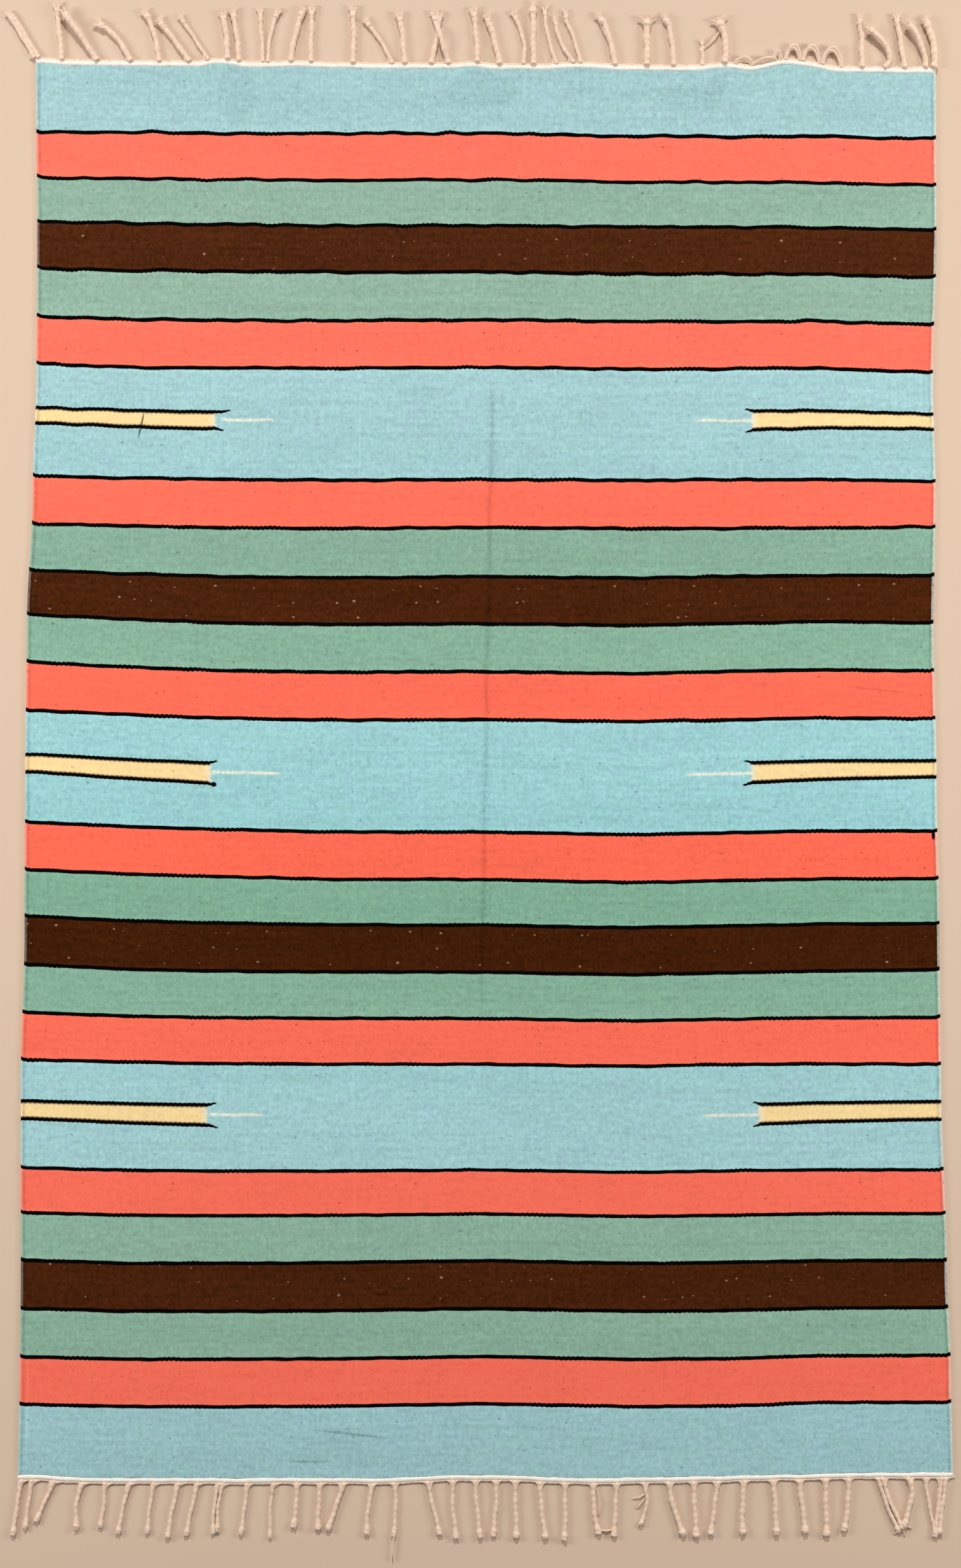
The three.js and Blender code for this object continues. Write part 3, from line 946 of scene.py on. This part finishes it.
def headingRow(end, name):
    # a tube along the end whose width and height draw in at the slanting groove of every twine
    row = headingStyle[name]
    outward = endLines[end]["outward"]
    y0 = np.array([endLines[end]["y"] * mm])
    left = sideAt(y0, "left")[0] + headingStyle["short"]
    right = sideAt(y0, "right")[0] - headingStyle["short"]
    x = np.linspace(left, right, int((right - left) / headingStyle["step"]))
    turn = np.linspace(0, 2 * pi, headingStyle["sides"], endpoint=False)
    y = endAt(end, x) + outward * (headingStyle["parting"] + row["out"] * mm)
    y = y + headingStyle["uneven"] * waves(x, 0, "heading line")
    slanting = 2 * pi * x[:, None] / (row["twine"] * mm) + 1.9 * np.cos(turn)
    groove = 1 - np.abs(np.sin(slanting / 2)) ** 0.8
    swell = 1 + row["uneven"] * waves(x, 0, "heading width")[:, None] - row["groove"] * groove
    py = y[:, None] + row["halfWidth"] * mm * swell * np.cos(turn) * outward
    pz = np.clip(row["halfHeight"] * mm * (1 + swell * np.sin(turn)), 0.02 * mm, None)
    points = np.stack([np.broadcast_to(x[:, None], py.shape), py, pz], -1)[None]
    points, faces, uvs, depth = tubeParts(points, (x - x[0])[None, :], groove)
    return points, faces if outward > 0 else faces[:, ::-1], uvs, depth


def makeHeading(end):
    return joinedTubes(f"heading_{end}", [headingRow(end, "twined")])


def makeFringe(end):
    # every cord of one end, with its root threads and tuft and the row that they come out of, in one mesh
    rows = cordRows(end)
    cords = [cordBodies(end, rows), rootThreads(end, rows), tuftThreads(end, rows)]
    return joinedTubes(f"cords_{end}", [*cords, looseParts(end), headingRow(end, "outer")])


fringes = {end: makeFringe(end) for end in ("far", "near")}
headings = {end: makeHeading(end) for end in ("far", "near")}
print("stage: fringes corded,", [len(piece.data.polygons) for piece in fringes.values()], "faces")


def step(operation):
    # one calculating node, as a method of wires
    return lambda wire, *others: wire.calc(operation, *others)


class Wire:
    # a socket of a node tree that formulas can be written with; the other values may be wires or numbers
    def __init__(self, socket):
        self.socket = socket
        self.tree = socket.id_data

    def calc(self, operation, *others):
        node = newNode(self.tree, "Math", dict(enumerate((self, *others))), operation=operation)
        return Wire(node.outputs[0])

    __add__ = step("ADD")
    __sub__ = step("SUBTRACT")
    __mul__ = step("MULTIPLY")
    __truediv__ = step("DIVIDE")
    size = step("ABSOLUTE")
    floor = step("FLOOR")
    fract = step("FRACT")
    above = step("GREATER_THAN")
    orMore = step("MAXIMUM")

    def eased(self, low, high):
        # 0 at low, 1 at high and smooth in between; low may be the larger of the two
        inputs = {"Value": self, "From Min": low, "From Max": high}
        return Wire(newNode(self.tree, "MapRange", inputs, interpolation_type="SMOOTHSTEP").outputs["Result"])

    def within(self, limit, blur):
        # 1 below the limit and 0 above it, eased over the blur on either side
        return self.eased(limit + blur, limit - blur)


def plug(socket, value):
    # a wire is linked, and a plain value is set on the socket
    if isinstance(value, Wire):
        value.tree.links.new(value.socket, socket)
    else:
        socket.default_value = value


def fill(node, inputs):
    for place, value in inputs.items():
        plug(node.inputs[place], value)


def newNode(tree, kind, inputs, **settings):
    # a node with its settings made and its inputs filled
    node = tree.nodes.new("ShaderNode" + kind)
    for name, value in settings.items():
        setattr(node, name, value)
    fill(node, inputs)
    return node


def vectorOf(x, y, z):
    return Wire(newNode(x.tree, "CombineXYZ", {"X": x, "Y": y, "Z": z}).outputs[0])


def noise(x, y, layer, detail=1.0):
    # smooth noise whose lumps are about a unit across, from -0.5 to 0.5
    inputs = {"Vector": vectorOf(x, y, layer), "Scale": 1.0, "Detail": detail}
    return Wire(newNode(x.tree, "TexNoise", inputs).outputs[0]) - 0.5


def chance(x, y):
    # an even random value from -0.5 to 0.5 for each whole-numbered place
    return Wire(newNode(x.tree, "TexWhiteNoise", {"Vector": vectorOf(x, y, 0.0)}).outputs["Value"]) - 0.5


def specks(x, y, largest):
    # a round speck at the middle of some cells of a loose scatter, as 1 inside it and 0 outside
    inputs = {"Scale": 1.0, "Vector": vectorOf(x, y, 0.0)}
    node = newNode(x.tree, "TexVoronoi", inputs, voronoi_dimensions="2D")
    radius = (Wire(node.outputs["Color"]) - 0.5) * (largest * 2.5)
    return Wire(node.outputs["Distance"]).within(radius, 0.015)


def mixColours(tree, share, first, second, blend="MIX"):
    # the Mix node's sockets 6 and 7 and its output 2 are the ones for colours
    inputs = {0: share, 6: first, 7: second}
    node = newNode(tree, "Mix", inputs, data_type="RGBA", blend_type=blend, clamp_result=True)
    return Wire(node.outputs[2])


def newGroup(name, inputs, outputs, colours=()):
    # a shader node group with float inputs, float outputs and colour outputs, and its inputs as wires
    group = bpy.data.node_groups.new(name, "ShaderNodeTree")
    kinds = ((inputs, "INPUT", "Float"), (outputs, "OUTPUT", "Float"), (colours, "OUTPUT", "Color"))
    for titles, side, kind in kinds:
        for title in titles:
            group.interface.new_socket(name=title, in_out=side, socket_type="NodeSocket" + kind)
    entry = group.nodes.new("NodeGroupInput")
    leaving = group.nodes.new("NodeGroupOutput")
    return group, [Wire(entry.outputs[title]) for title in inputs], leaving


def placeGroup(tree, group, inputs):
    # puts a group in a tree with the named values, and gives its outputs by name
    node = newNode(tree, "Group", inputs, node_tree=group)
    return {socket.name: Wire(socket) for socket in node.outputs}


# Unevenness in the yarns: the width and length of its lumps in mm, its layer in the noise, and its detail.
yarnNoises = {
    "warp drift": (22, 60, 0, 1),
    "weft drift": (40, 15, 7, 1),
    "bar": (11, 1.6, 3, 2),
    "mottle": (7, 6, 3, 2),
    "broad": (110, 50, 5, 2),
    "wefts": (450, 7, 17, 2),
    "ribs": (2.6, 45, 13, 1),
    "hue streaks": (50, 4.5, 21, 2),
    "hue patches": (20, 20, 33, 2),
    "cotton": (2, 1.2, 0, 2),
    "dirt": (8, 9, 5, 2),
}


def lumps(across, along, kind):
    # noise with the lumps of one kind
    width, length, layer, detail = yarnNoises[kind]
    return noise(across / (width * mm), along / (length * mm), layer, detail)


# Weave: every warp carries a row of weft grains, and the grains of neighbouring warps are half a step apart.
weave = {
    "warpPitch": 3.15 * mm,
    "grainHeight": 4.3 * mm,
    "wander": 1.5 * mm,
    "pickPlace": (30 * mm, 1.37),  # the width of a pick's tones, and the step in the noise to the next pick
    "toothSlope": 1.7,
}


def hump(place):
    # 4 t (1 - t), with t going from 0 to 1 in every unit
    share = place.fract()
    return share * (share * -1.0 + 1.0) * 4.0


def makeWeaveGroup():
    # height = rib over the warp x bead over the grain; each grain and each pick has a tone of its own
    titles = ["Height", "Grain Tone", "Pick Tone", "Tooth"]
    tree, (across, along), leaving = newGroup("flatWeave", ["Across", "Along"], titles)
    warp = (across + lumps(across, along, "warp drift") * weave["wander"]) / weave["warpPitch"]
    warpNumber = warp.floor()
    odd = (warpNumber * 0.5).fract() * 2.0
    drift = lumps(across, along, "weft drift") * weave["wander"]
    grain = (along + drift) / weave["grainHeight"] + odd * 0.5
    grainNumber = grain.floor()
    pickWidth, pickStep = weave["pickPlace"]
    pickNumber = grainNumber * 2.0 - odd
    tooth = (warp * pi).calc("SINE") * weave["toothSlope"]
    fill(leaving, {
        "Height": hump(warp).calc("SQRT") * (hump(grain) * 0.5 + 0.5),
        "Grain Tone": chance(warpNumber, grainNumber),
        "Pick Tone": noise(across / pickWidth, pickNumber * pickStep, 0.0),
        "Tooth": tooth.orMore(-1.0).calc("MINIMUM", 1.0),
    })
    return tree


# Bars: a cream bar between two black outlines runs in from each side of the three blue fields,
# and a thin pale tail goes on towards the middle. From is where each begins, counted from the middle.
barStyle = {
    "outline": 2.3 * mm,  # half the thickness of its black outlines
    "blur": 0.55 * mm,
    "pointed": 1.2 * mm,  # how much thinner they begin
    "pointedLength": 14 * mm,
    "flare": 2.4 * mm,
    "flareLength": 12 * mm,
    "tooth": 0.22 * mm,
    "fuzz": 1.2 * mm,
    "startFuzz": 6 * mm,
    "rust": 2.45 * mm,  # how far a brown edge shows beside the black, on the cream's side
    "rustShare": 0.85,
    "ragged": 14 * mm,
    "bleachedLength": 10 * mm,
    "bleachedShare": 0.6,
    "tail": 2.2 * mm,
    "tailFade": 18 * mm,
    "tailFuzz": 10 * mm,
    "tailShare": 0.85,
}
barTitles = ["Side", "Upper Edge", "Upper Inner", "Upper From", "Lower Edge", "Lower Inner", "Lower From"]
barTitles += ["Cream From", "Tail Along", "Tail From", "Tail To"]
barRows = {
    "far left": [-1, 484, 482.5, 346, 462.5, 459.5, 354, 365, 472, 279, 356],
    "far right": [1, 485, 485, 354, 464, 458.5, 354, 363, 472, 280, 362],
    "middle left": [-1, 13, 10.5, 353, -11, -17, 355, 361, -1.5, 261, 357],
    "middle right": [1, 16, 14, 353, -6, -13, 351, 362, 0, 269, 362],
    "near left": [-1, -442, -443, 351, -465.5, -470, 349, 363, -455.5, 282, 358],
    "near right": [1, -438, -441.5, 361, -462, -468, 361, 367, -455.5, 287, 366],
}


def makeBarGroup():
    # an outline is black within a half thickness of the straight line from its edge end to its inner end
    titles = ["Across", "Along", "Tooth", *barTitles]
    tree, wires, leaving = newGroup("sideBar", titles, ["Black", "Rust", "Cream", "Pale"])
    across, along, tooth, side = wires[:4]
    creamFrom, tailAlong, tailFrom, tailTo = wires[10:]
    towards = across * side
    fuzz = lumps(across, along, "bar")
    outline = barStyle["outline"]
    lines = []
    blacks = []
    rusts = []
    for edge, inner, start, outwards in ((*wires[4:7], 1.0), (*wires[7:10], -1.0)):
        share = (towards - start) / (start * -1.0 + rugCloth["wovenWidth"] / 2)
        flare = towards.eased(start + barStyle["flareLength"], start) * outwards * barStyle["flare"]
        line = inner + (edge - inner) * share + flare
        away = (along - line + tooth * barStyle["tooth"] + fuzz * barStyle["fuzz"]).size()
        full = towards.eased(start - 2 * mm, start + barStyle["pointedLength"])
        halfThick = full * barStyle["pointed"] + (outline - barStyle["pointed"])
        begun = (towards + fuzz * barStyle["startFuzz"]).eased(start - 2 * mm, start + 1 * mm)
        blacks.append(away.within(halfThick, barStyle["blur"]) * begun)
        rusts.append(away.eased(outline + barStyle["rust"], outline))
        lines.append(line)
    inside = (lines[0] - along).above(0.0) * (along - lines[1]).above(0.0)
    ragged = towards + fuzz * barStyle["ragged"]
    cream = inside * ragged.eased(creamFrom - 0.8 * mm, creamFrom + 0.8 * mm)
    bleached = cream * towards.eased(creamFrom + barStyle["bleachedLength"], creamFrom)
    tail = ((along - tailAlong) / barStyle["tail"] + fuzz).size().eased(1.25, 0.55)
    tail = tail * towards.eased(tailFrom, tailFrom + barStyle["tailFade"])
    tail = tail * (towards + fuzz * barStyle["tailFuzz"]).eased(tailTo + 4 * mm, tailTo - 1 * mm)
    fill(leaving, {
        "Black": blacks[0].orMore(blacks[1]),
        "Rust": rusts[0].orMore(rusts[1]) * cream * barStyle["rustShare"],
        "Cream": cream,
        "Pale": (tail * barStyle["tailShare"]).orMore(bleached * barStyle["bleachedShare"]),
    })
    return tree


# Yarns: the wool's colours as seen on a screen in plain daylight.
wool = {
    "blue": (165, 203, 206),
    "coral": (255, 117, 96),
    "green": (144, 177, 159),
    "brown": (77, 37, 15),
    "black": (5, 3, 3),
    "cream": (249, 218, 157),
    "pale": (230, 232, 216),
    "rust": (64, 25, 10),
    "lint": (189, 145, 124),  # pale specks in the brown wool
    "lilacTint": (1.035, 0.975, 1.04, 1.0),
    "greenTint": (0.965, 1.02, 0.955, 1.0),
    "outline": 2.6 * mm,  # half the thickness of a black outline
    "outlineBlur": 0.5 * mm,
    "outlineUneven": 1.2 * mm,
    "outlineWander": 2.2 * mm,
    "hook": 2 * mm,  # how far an outline turns away beside the selvedge
    "hookPlaces": (602 * mm, 610.5 * mm),
    "tooth": 0.35 * mm,
    "grainTone": 0.07,
    "pickTone": 0.3,
    # how much darker the weave's low places are, as painted shade
    "grooveShadeTone": 0.05,
    "mottleTone": 0.5,
    "broadTone": 0.14,
    "ribTone": 0.1,
    "bandTone": 0.2,
    "brownStir": 1.3,  # how much more the brown wool varies
    "speckTone": 0.34,
    "rimTone": 0.16,  # how much darker the last warps are, beside the selvedge
    "coralCalm": 0.25,  # how much less the coral wool varies
    "creamCalm": 0.45,
    "rimFrom": (602.5 * mm, 603.5 * mm),
    "rimTo": (606.8 * mm, 606.2 * mm),
    "streakWidth": (2 * mm, 0.6 * mm),
    "streakFade": 80 * mm,
    "speckPlaces": (27 * mm, 21 * mm, 0.068),  # a cell's width and length, and the largest speck's share
    "lintShare": 0.55,
    "haloTone": 0.05,  # how much lighter the wool is beside an outline
    "haloPlaces": (9 * mm, 4.5 * mm),
    # how much darker the wool is in the centre crease, as painted shade
    "creaseShadeTone": 0.2,
    "mottleHeight": 0.6,
    "shader": {"Roughness": 0.95, "Specular IOR Level": 0.03},
    "bump": {"Strength": 0.3, "Distance": 0.5 * mm},
    "attributes": {"Band": "bandNumber", "Crease Shade": "crease", "Bleach": "bleach", "Light": "light",
                   "Fresh": "fresh", "Brown Light": "brown"},
}

# Warps that stand a little proud and catch the light: how far across they lie and where they begin and end.
warpStreaks = named(
    "across far near tone",
    [-169, 930, -930, 0.06],
    [-312, 60, -860, 0.05],
    [236, 900, 200, 0.03],
    [-599, -740, -935, 0.2],
)

# Small black marks in the weave: a stray thread, a lump at a bar's end and a drip at the right side.
blackMarks = named(
    "across along halfWide halfLong turn share",
    [-465.5, 463.5, 1.5, 17, -11, 0.75],
    [-357.5, -18, 4, 3.4, 0, 1],
    [604, -84, 2.2, 6, 0, 1],
)

# Painted shade on the wool: slight hollows under the far heading, a long weft streak and three thin wrinkles,
# darkened as shade falls in them.
paintedShades = named(
    "across along halfWide halfLong turn share",
    [-336, 905, 26, 40, 0, 0.06],
    [-4, 912, 50, 24, 0, 0.06],
    [310, 909, 26, 12, 60, 0.09],
    [262, 902, 30, 22, 0, 0.05],
    [-80, 508, 42, 8, -3, 0.06],
    [-178, -878, 44, 1.9, -7, 0.26],
    [-228, -915, 27, 1.8, 0, 0.24],
    [531, 110, 44, 1.6, -6, 0.14],
)


def spotMask(across, along, spot):
    # 1 in the middle of an oval that is turned so many degrees from the weft, easing to 0 outside it
    cos, sin = (float(part(np.radians(spot["turn"]))) for part in (np.cos, np.sin))
    x = across - spot["across"] * mm
    y = along - spot["along"] * mm
    u = (x * cos + y * sin) / (spot["halfWide"] * mm)
    v = (y * cos - x * sin) / (spot["halfLong"] * mm)
    return (u * u + v * v).eased(1.5, 0.5) * spot["share"]


def stripeColour(number, colours):
    # the ramp's six flat steps, read in the middle of the step that the stripe's number falls on
    node = newNode(number.tree, "ValToRGB", {"Fac": (number / 6.0).fract() + 0.5 / 6})
    node.color_ramp.interpolation = "CONSTANT"
    steps = node.color_ramp.elements
    order = ["blue", "coral", "green", "brown", "green", "coral"]
    while len(steps) < len(order):
        steps.new(0.5)
    for place, name in enumerate(order):
        steps[place].position = place / 6
        steps[place].color = linearColour(colours[name])
    return Wire(node.outputs["Color"])


def onStripes(stripeNumber, fromBrown):
    # 1 on the stripes that lie so many places from the brown one in the order of six, and 0 elsewhere
    places = ((stripeNumber / 6.0).fract() - 0.5).size() * 6.0
    return ((places - fromBrown).size() * -1.0).above(-0.5)


def outlineParts(across, band, tooth):
    # away is the distance from the nearest outline, black is 1 on the outline and number is the stripe's
    before = band.floor()
    share = band.fract()
    inField = ((before / 6.0).fract() * -1.0).above(-0.01)
    height = inField * (rugCloth["fieldHeight"] - rugCloth["stripeHeight"]) + rugCloth["stripeHeight"]
    later = share.above(0.5)
    line = before + later
    wander = noise(across / (30 * mm), line * 3.7, 0.0) * wool["outlineWander"]
    hook = across.size().eased(*wool["hookPlaces"]) * wool["hook"]
    stretch = noise(across / (45 * mm), line * 5.1, 9.0).eased(-0.02, 0.14) * 0.85 + 0.15
    away = (share - later) * height + wander + hook + tooth * stretch * wool["tooth"]
    thickness = noise(across / (20 * mm), line * 2.3, 4.0) * wool["outlineUneven"] + wool["outline"]
    black = away.size().within(thickness, wool["outlineBlur"])
    return away.size(), black, line - 1.0 + away.above(0.0)


def yarnTone(across, along, woven, mottle, stir):
    # 1 plus the unevenness of the grains, picks, ribs and wefts and painted shade where the weave lies low,
    # times how strongly this yarn varies
    tone = woven["Grain Tone"] * wool["grainTone"] + woven["Pick Tone"] * wool["pickTone"]
    tone = tone + mottle * wool["mottleTone"] + (woven["Height"] - 0.7) * wool["grooveShadeTone"]
    for kind, share in (("broad", "broadTone"), ("ribs", "ribTone"), ("wefts", "bandTone")):
        tone = tone + lumps(across, along, kind) * wool[share]
    return tone * stir + 1.0


def shadeTone(across, along):
    # the proud warps, less the painted shade of the hollows and wrinkles and the dark line beside each
    # selvedge
    rim = across.size().eased(*wool["rimFrom"]) * across.size().eased(*wool["rimTo"])
    tone = rim * -wool["rimTone"]
    fade = wool["streakFade"]
    for streak in warpStreaks:
        beside = (across - streak["across"] * mm).size().eased(*wool["streakWidth"])
        near, far = streak["near"] * mm, streak["far"] * mm
        ends = along.eased(near, near + fade) * along.eased(far, far - fade)
        tone = tone + beside * ends * streak["tone"]
    # painted shade of the hollows and wrinkles
    for shade in paintedShades:
        tone = tone - spotMask(across, along, shade)
    return tone


def makeWoolGroup():
    # stripes by the nearest outline's number, then bars, outlines and marks over them, all in uneven yarn
    # with painted light and shade along the rug, in the crease, hollows and wrinkles and in the weave's low
    # places
    titles = ["Across", "Along", "Band", "Crease Shade", "Light", "Fresh", "Brown Light", "Bleach"]
    tree, wires, leaving = newGroup("stripedWool", titles, ["Height"], ["Colour"])
    across, along, band, crease, light, fresh, brownLight, bleach = wires
    woven = placeGroup(tree, weaveGroup, {"Across": across, "Along": along})
    away, black, stripeNumber = outlineParts(across, band, woven["Tooth"])
    onBrown = onStripes(stripeNumber, 0)
    onCoral = onStripes(stripeNumber, 2)
    cool = onBrown * -1.0 - onCoral + 1.0

    # the stripe colour, whose Value carries the dye lots along the rug together with their painted light and
    # shade
    dyeAndLight = newNode(tree, "HueSaturation", {
        "Color": stripeColour(stripeNumber, wool),
        "Saturation": fresh * (cool * 0.9 + 0.1) + 1.0,
        "Value": (light - 1.0) * cool + (brownLight - 1.0) * onBrown + 1.0,
    })
    hue = lumps(across, along, "hue streaks") + lumps(across, along, "hue patches")
    tint = mixColours(tree, hue.eased(-0.3, 0.3), wool["lilacTint"], wool["greenTint"])
    colour = mixColours(tree, 1.0, Wire(dyeAndLight.outputs["Color"]), tint, "MULTIPLY")
    cellWidth, cellLength, largest = wool["speckPlaces"]
    speck = specks(across / cellWidth, along / cellLength, largest)
    layers = [(speck * onBrown * wool["lintShare"], "lint")]

    onCream = 0.0
    for row in barRows.values():
        values = {"Across": across, "Along": along, "Tooth": woven["Tooth"]}
        for title, value in zip(barTitles, row):
            values[title] = value * (1.0 if title == "Side" else mm)
        bar = placeGroup(tree, barGroup, values)
        layers += [(bar["Cream"], "cream"), (bar["Pale"], "pale"), (bar["Rust"], "rust")]
        black = black.orMore(bar["Black"])
        onCream = bar["Cream"].orMore(onCream)
    for share, name in [*layers, (bleach, "pale")]:
        colour = mixColours(tree, share, colour, linearColour(wool[name]))
    for mark in blackMarks:
        black = black.orMore(spotMask(across, along, mark))

    mottle = lumps(across, along, "mottle")
    stir = onCoral * -wool["coralCalm"] + onBrown * wool["brownStir"] - onCream * wool["creamCalm"] + 1.0
    tone = yarnTone(across, along, woven, mottle, stir) + shadeTone(across, along)
    tone = tone - speck * (onBrown * -1.0 + 1.0) * wool["speckTone"]
    # lighter beside the outlines, and darker in the centre crease as painted shade
    tone = tone + away.eased(*wool["haloPlaces"]) * wool["haloTone"] - crease * wool["creaseShadeTone"]
    colour = mixColours(tree, 1.0, colour, tone, "MULTIPLY")
    fill(leaving, {
        "Colour": mixColours(tree, black, colour, linearColour(wool["black"])),
        "Height": woven["Height"] + mottle * wool["mottleHeight"],
    })
    return tree


def readAttribute(tree, name):
    return Wire(newNode(tree, "Attribute", {}, attribute_name=name).outputs["Fac"])


def yarnPlaces(tree):
    # the two numbers of the piece's own UV map
    uv = newNode(tree, "UVMap", {}, uv_map="yarns")
    places = newNode(tree, "SeparateXYZ", {0: Wire(uv.outputs[0])})
    return Wire(places.outputs[0]), Wire(places.outputs[1])


def newSurface(name, style):
    # a material with the style's plain values, whose colour and bump height are plugged in later
    material = bpy.data.materials.new(name)
    material.use_nodes = True
    tree = material.node_tree
    shader = tree.nodes["Principled BSDF"]
    bump = newNode(tree, "Bump", style["bump"])
    fill(shader, {**style["shader"], "Normal": Wire(bump.outputs["Normal"])})
    return material, tree, shader.inputs["Base Color"], bump.inputs["Height"]


def makeWoolMaterial():
    material, tree, colour, height = newSurface("stripedWool", wool)
    values = dict(zip(("Across", "Along"), yarnPlaces(tree)))
    for title, name in wool["attributes"].items():
        values[title] = readAttribute(tree, name)
    striped = placeGroup(tree, woolGroup, values)
    plug(colour, striped["Colour"])
    plug(height, striped["Height"])
    return material


# Fringe yarn: undyed cotton, whiter in the twined heading than in the handled cords.
cotton = {
    "cord": (239, 214, 191),
    "cordShade": (232, 195, 170),
    "heading": (248, 242, 233),
    "headingShade": (243, 222, 206),
    "strandWidth": 2 * mm,
    "strandLength": 14 * mm,  # along the yarn, while it goes a strand's width round it
    # how much darker the grooves between plies and twines are, as painted shade
    "grooveShadeTone": 0.06,
    "strandTone": 0.03,
    "fuzzTone": 0.16,
    "grooveHeight": 0.25,
    "strandHeight": 0.15,
    "fuzzHeight": 0.6,
    "dirtShare": 0.6,
    "shader": {"Roughness": 0.9, "Specular IOR Level": 0.2, "Sheen Weight": 0.1},
    "bump": {"Strength": 0.7, "Distance": 0.4 * mm},
}


def makeCottonGroup():
    # tone = less in the grooves as painted shade, with fine strands slanting along the yarn and uneven dirt
    # on it
    titles = ["Around", "Along", "Groove"]
    tree, (around, along, groove), leaving = newGroup("spunCotton", titles, ["Tone", "Height", "Dirt"])
    turns = along / cotton["strandLength"] + around / cotton["strandWidth"]
    strands = (turns * (2 * pi)).calc("SINE")
    fuzz = lumps(around, along, "cotton")
    tone = strands * cotton["strandTone"] + fuzz * cotton["fuzzTone"] - groove * cotton["grooveShadeTone"]
    height = strands * cotton["strandHeight"] + fuzz * cotton["fuzzHeight"] - groove * cotton["grooveHeight"]
    dirt = lumps(around, along, "dirt").eased(-0.2, 0.25)
    fill(leaving, {"Tone": tone + 1.02, "Height": height, "Dirt": dirt})
    return tree


def makeCottonMaterial(name):
    material, tree, colour, height = newSurface(f"{name}Cotton", cotton)
    around, along = yarnPlaces(tree)
    values = {"Around": around, "Along": along, "Groove": readAttribute(tree, "groove")}
    spun = placeGroup(tree, cottonGroup, values)
    clean, shade = (linearColour(cotton[title]) for title in (name, f"{name}Shade"))
    mixed = mixColours(tree, spun["Dirt"] * cotton["dirtShare"], clean, shade)
    plug(colour, mixColours(tree, 1.0, mixed, spun["Tone"], "MULTIPLY"))
    plug(height, spun["Height"])
    return material


weaveGroup = makeWeaveGroup()
barGroup = makeBarGroup()
woolGroup = makeWoolGroup()
cottonGroup = makeCottonGroup()
stripedWool = makeWoolMaterial()
cordCotton = makeCottonMaterial("cord")
headingCotton = makeCottonMaterial("heading")
print("stage: yarns dyed")


def register(piece, material):
    piece.data.materials.append(material)
    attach(piece, "root")


register(cloth, stripedWool)
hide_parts("rug_cloth")
for piece in selvedges.values():
    register(piece, stripedWool)
for end in ("far", "near"):
    register(fringes[end], cordCotton)
    register(headings[end], headingCotton)
    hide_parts(f"fringe_{end}")
    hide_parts(f"fringe_{end}")
print("stage: pieces placed on the frame")
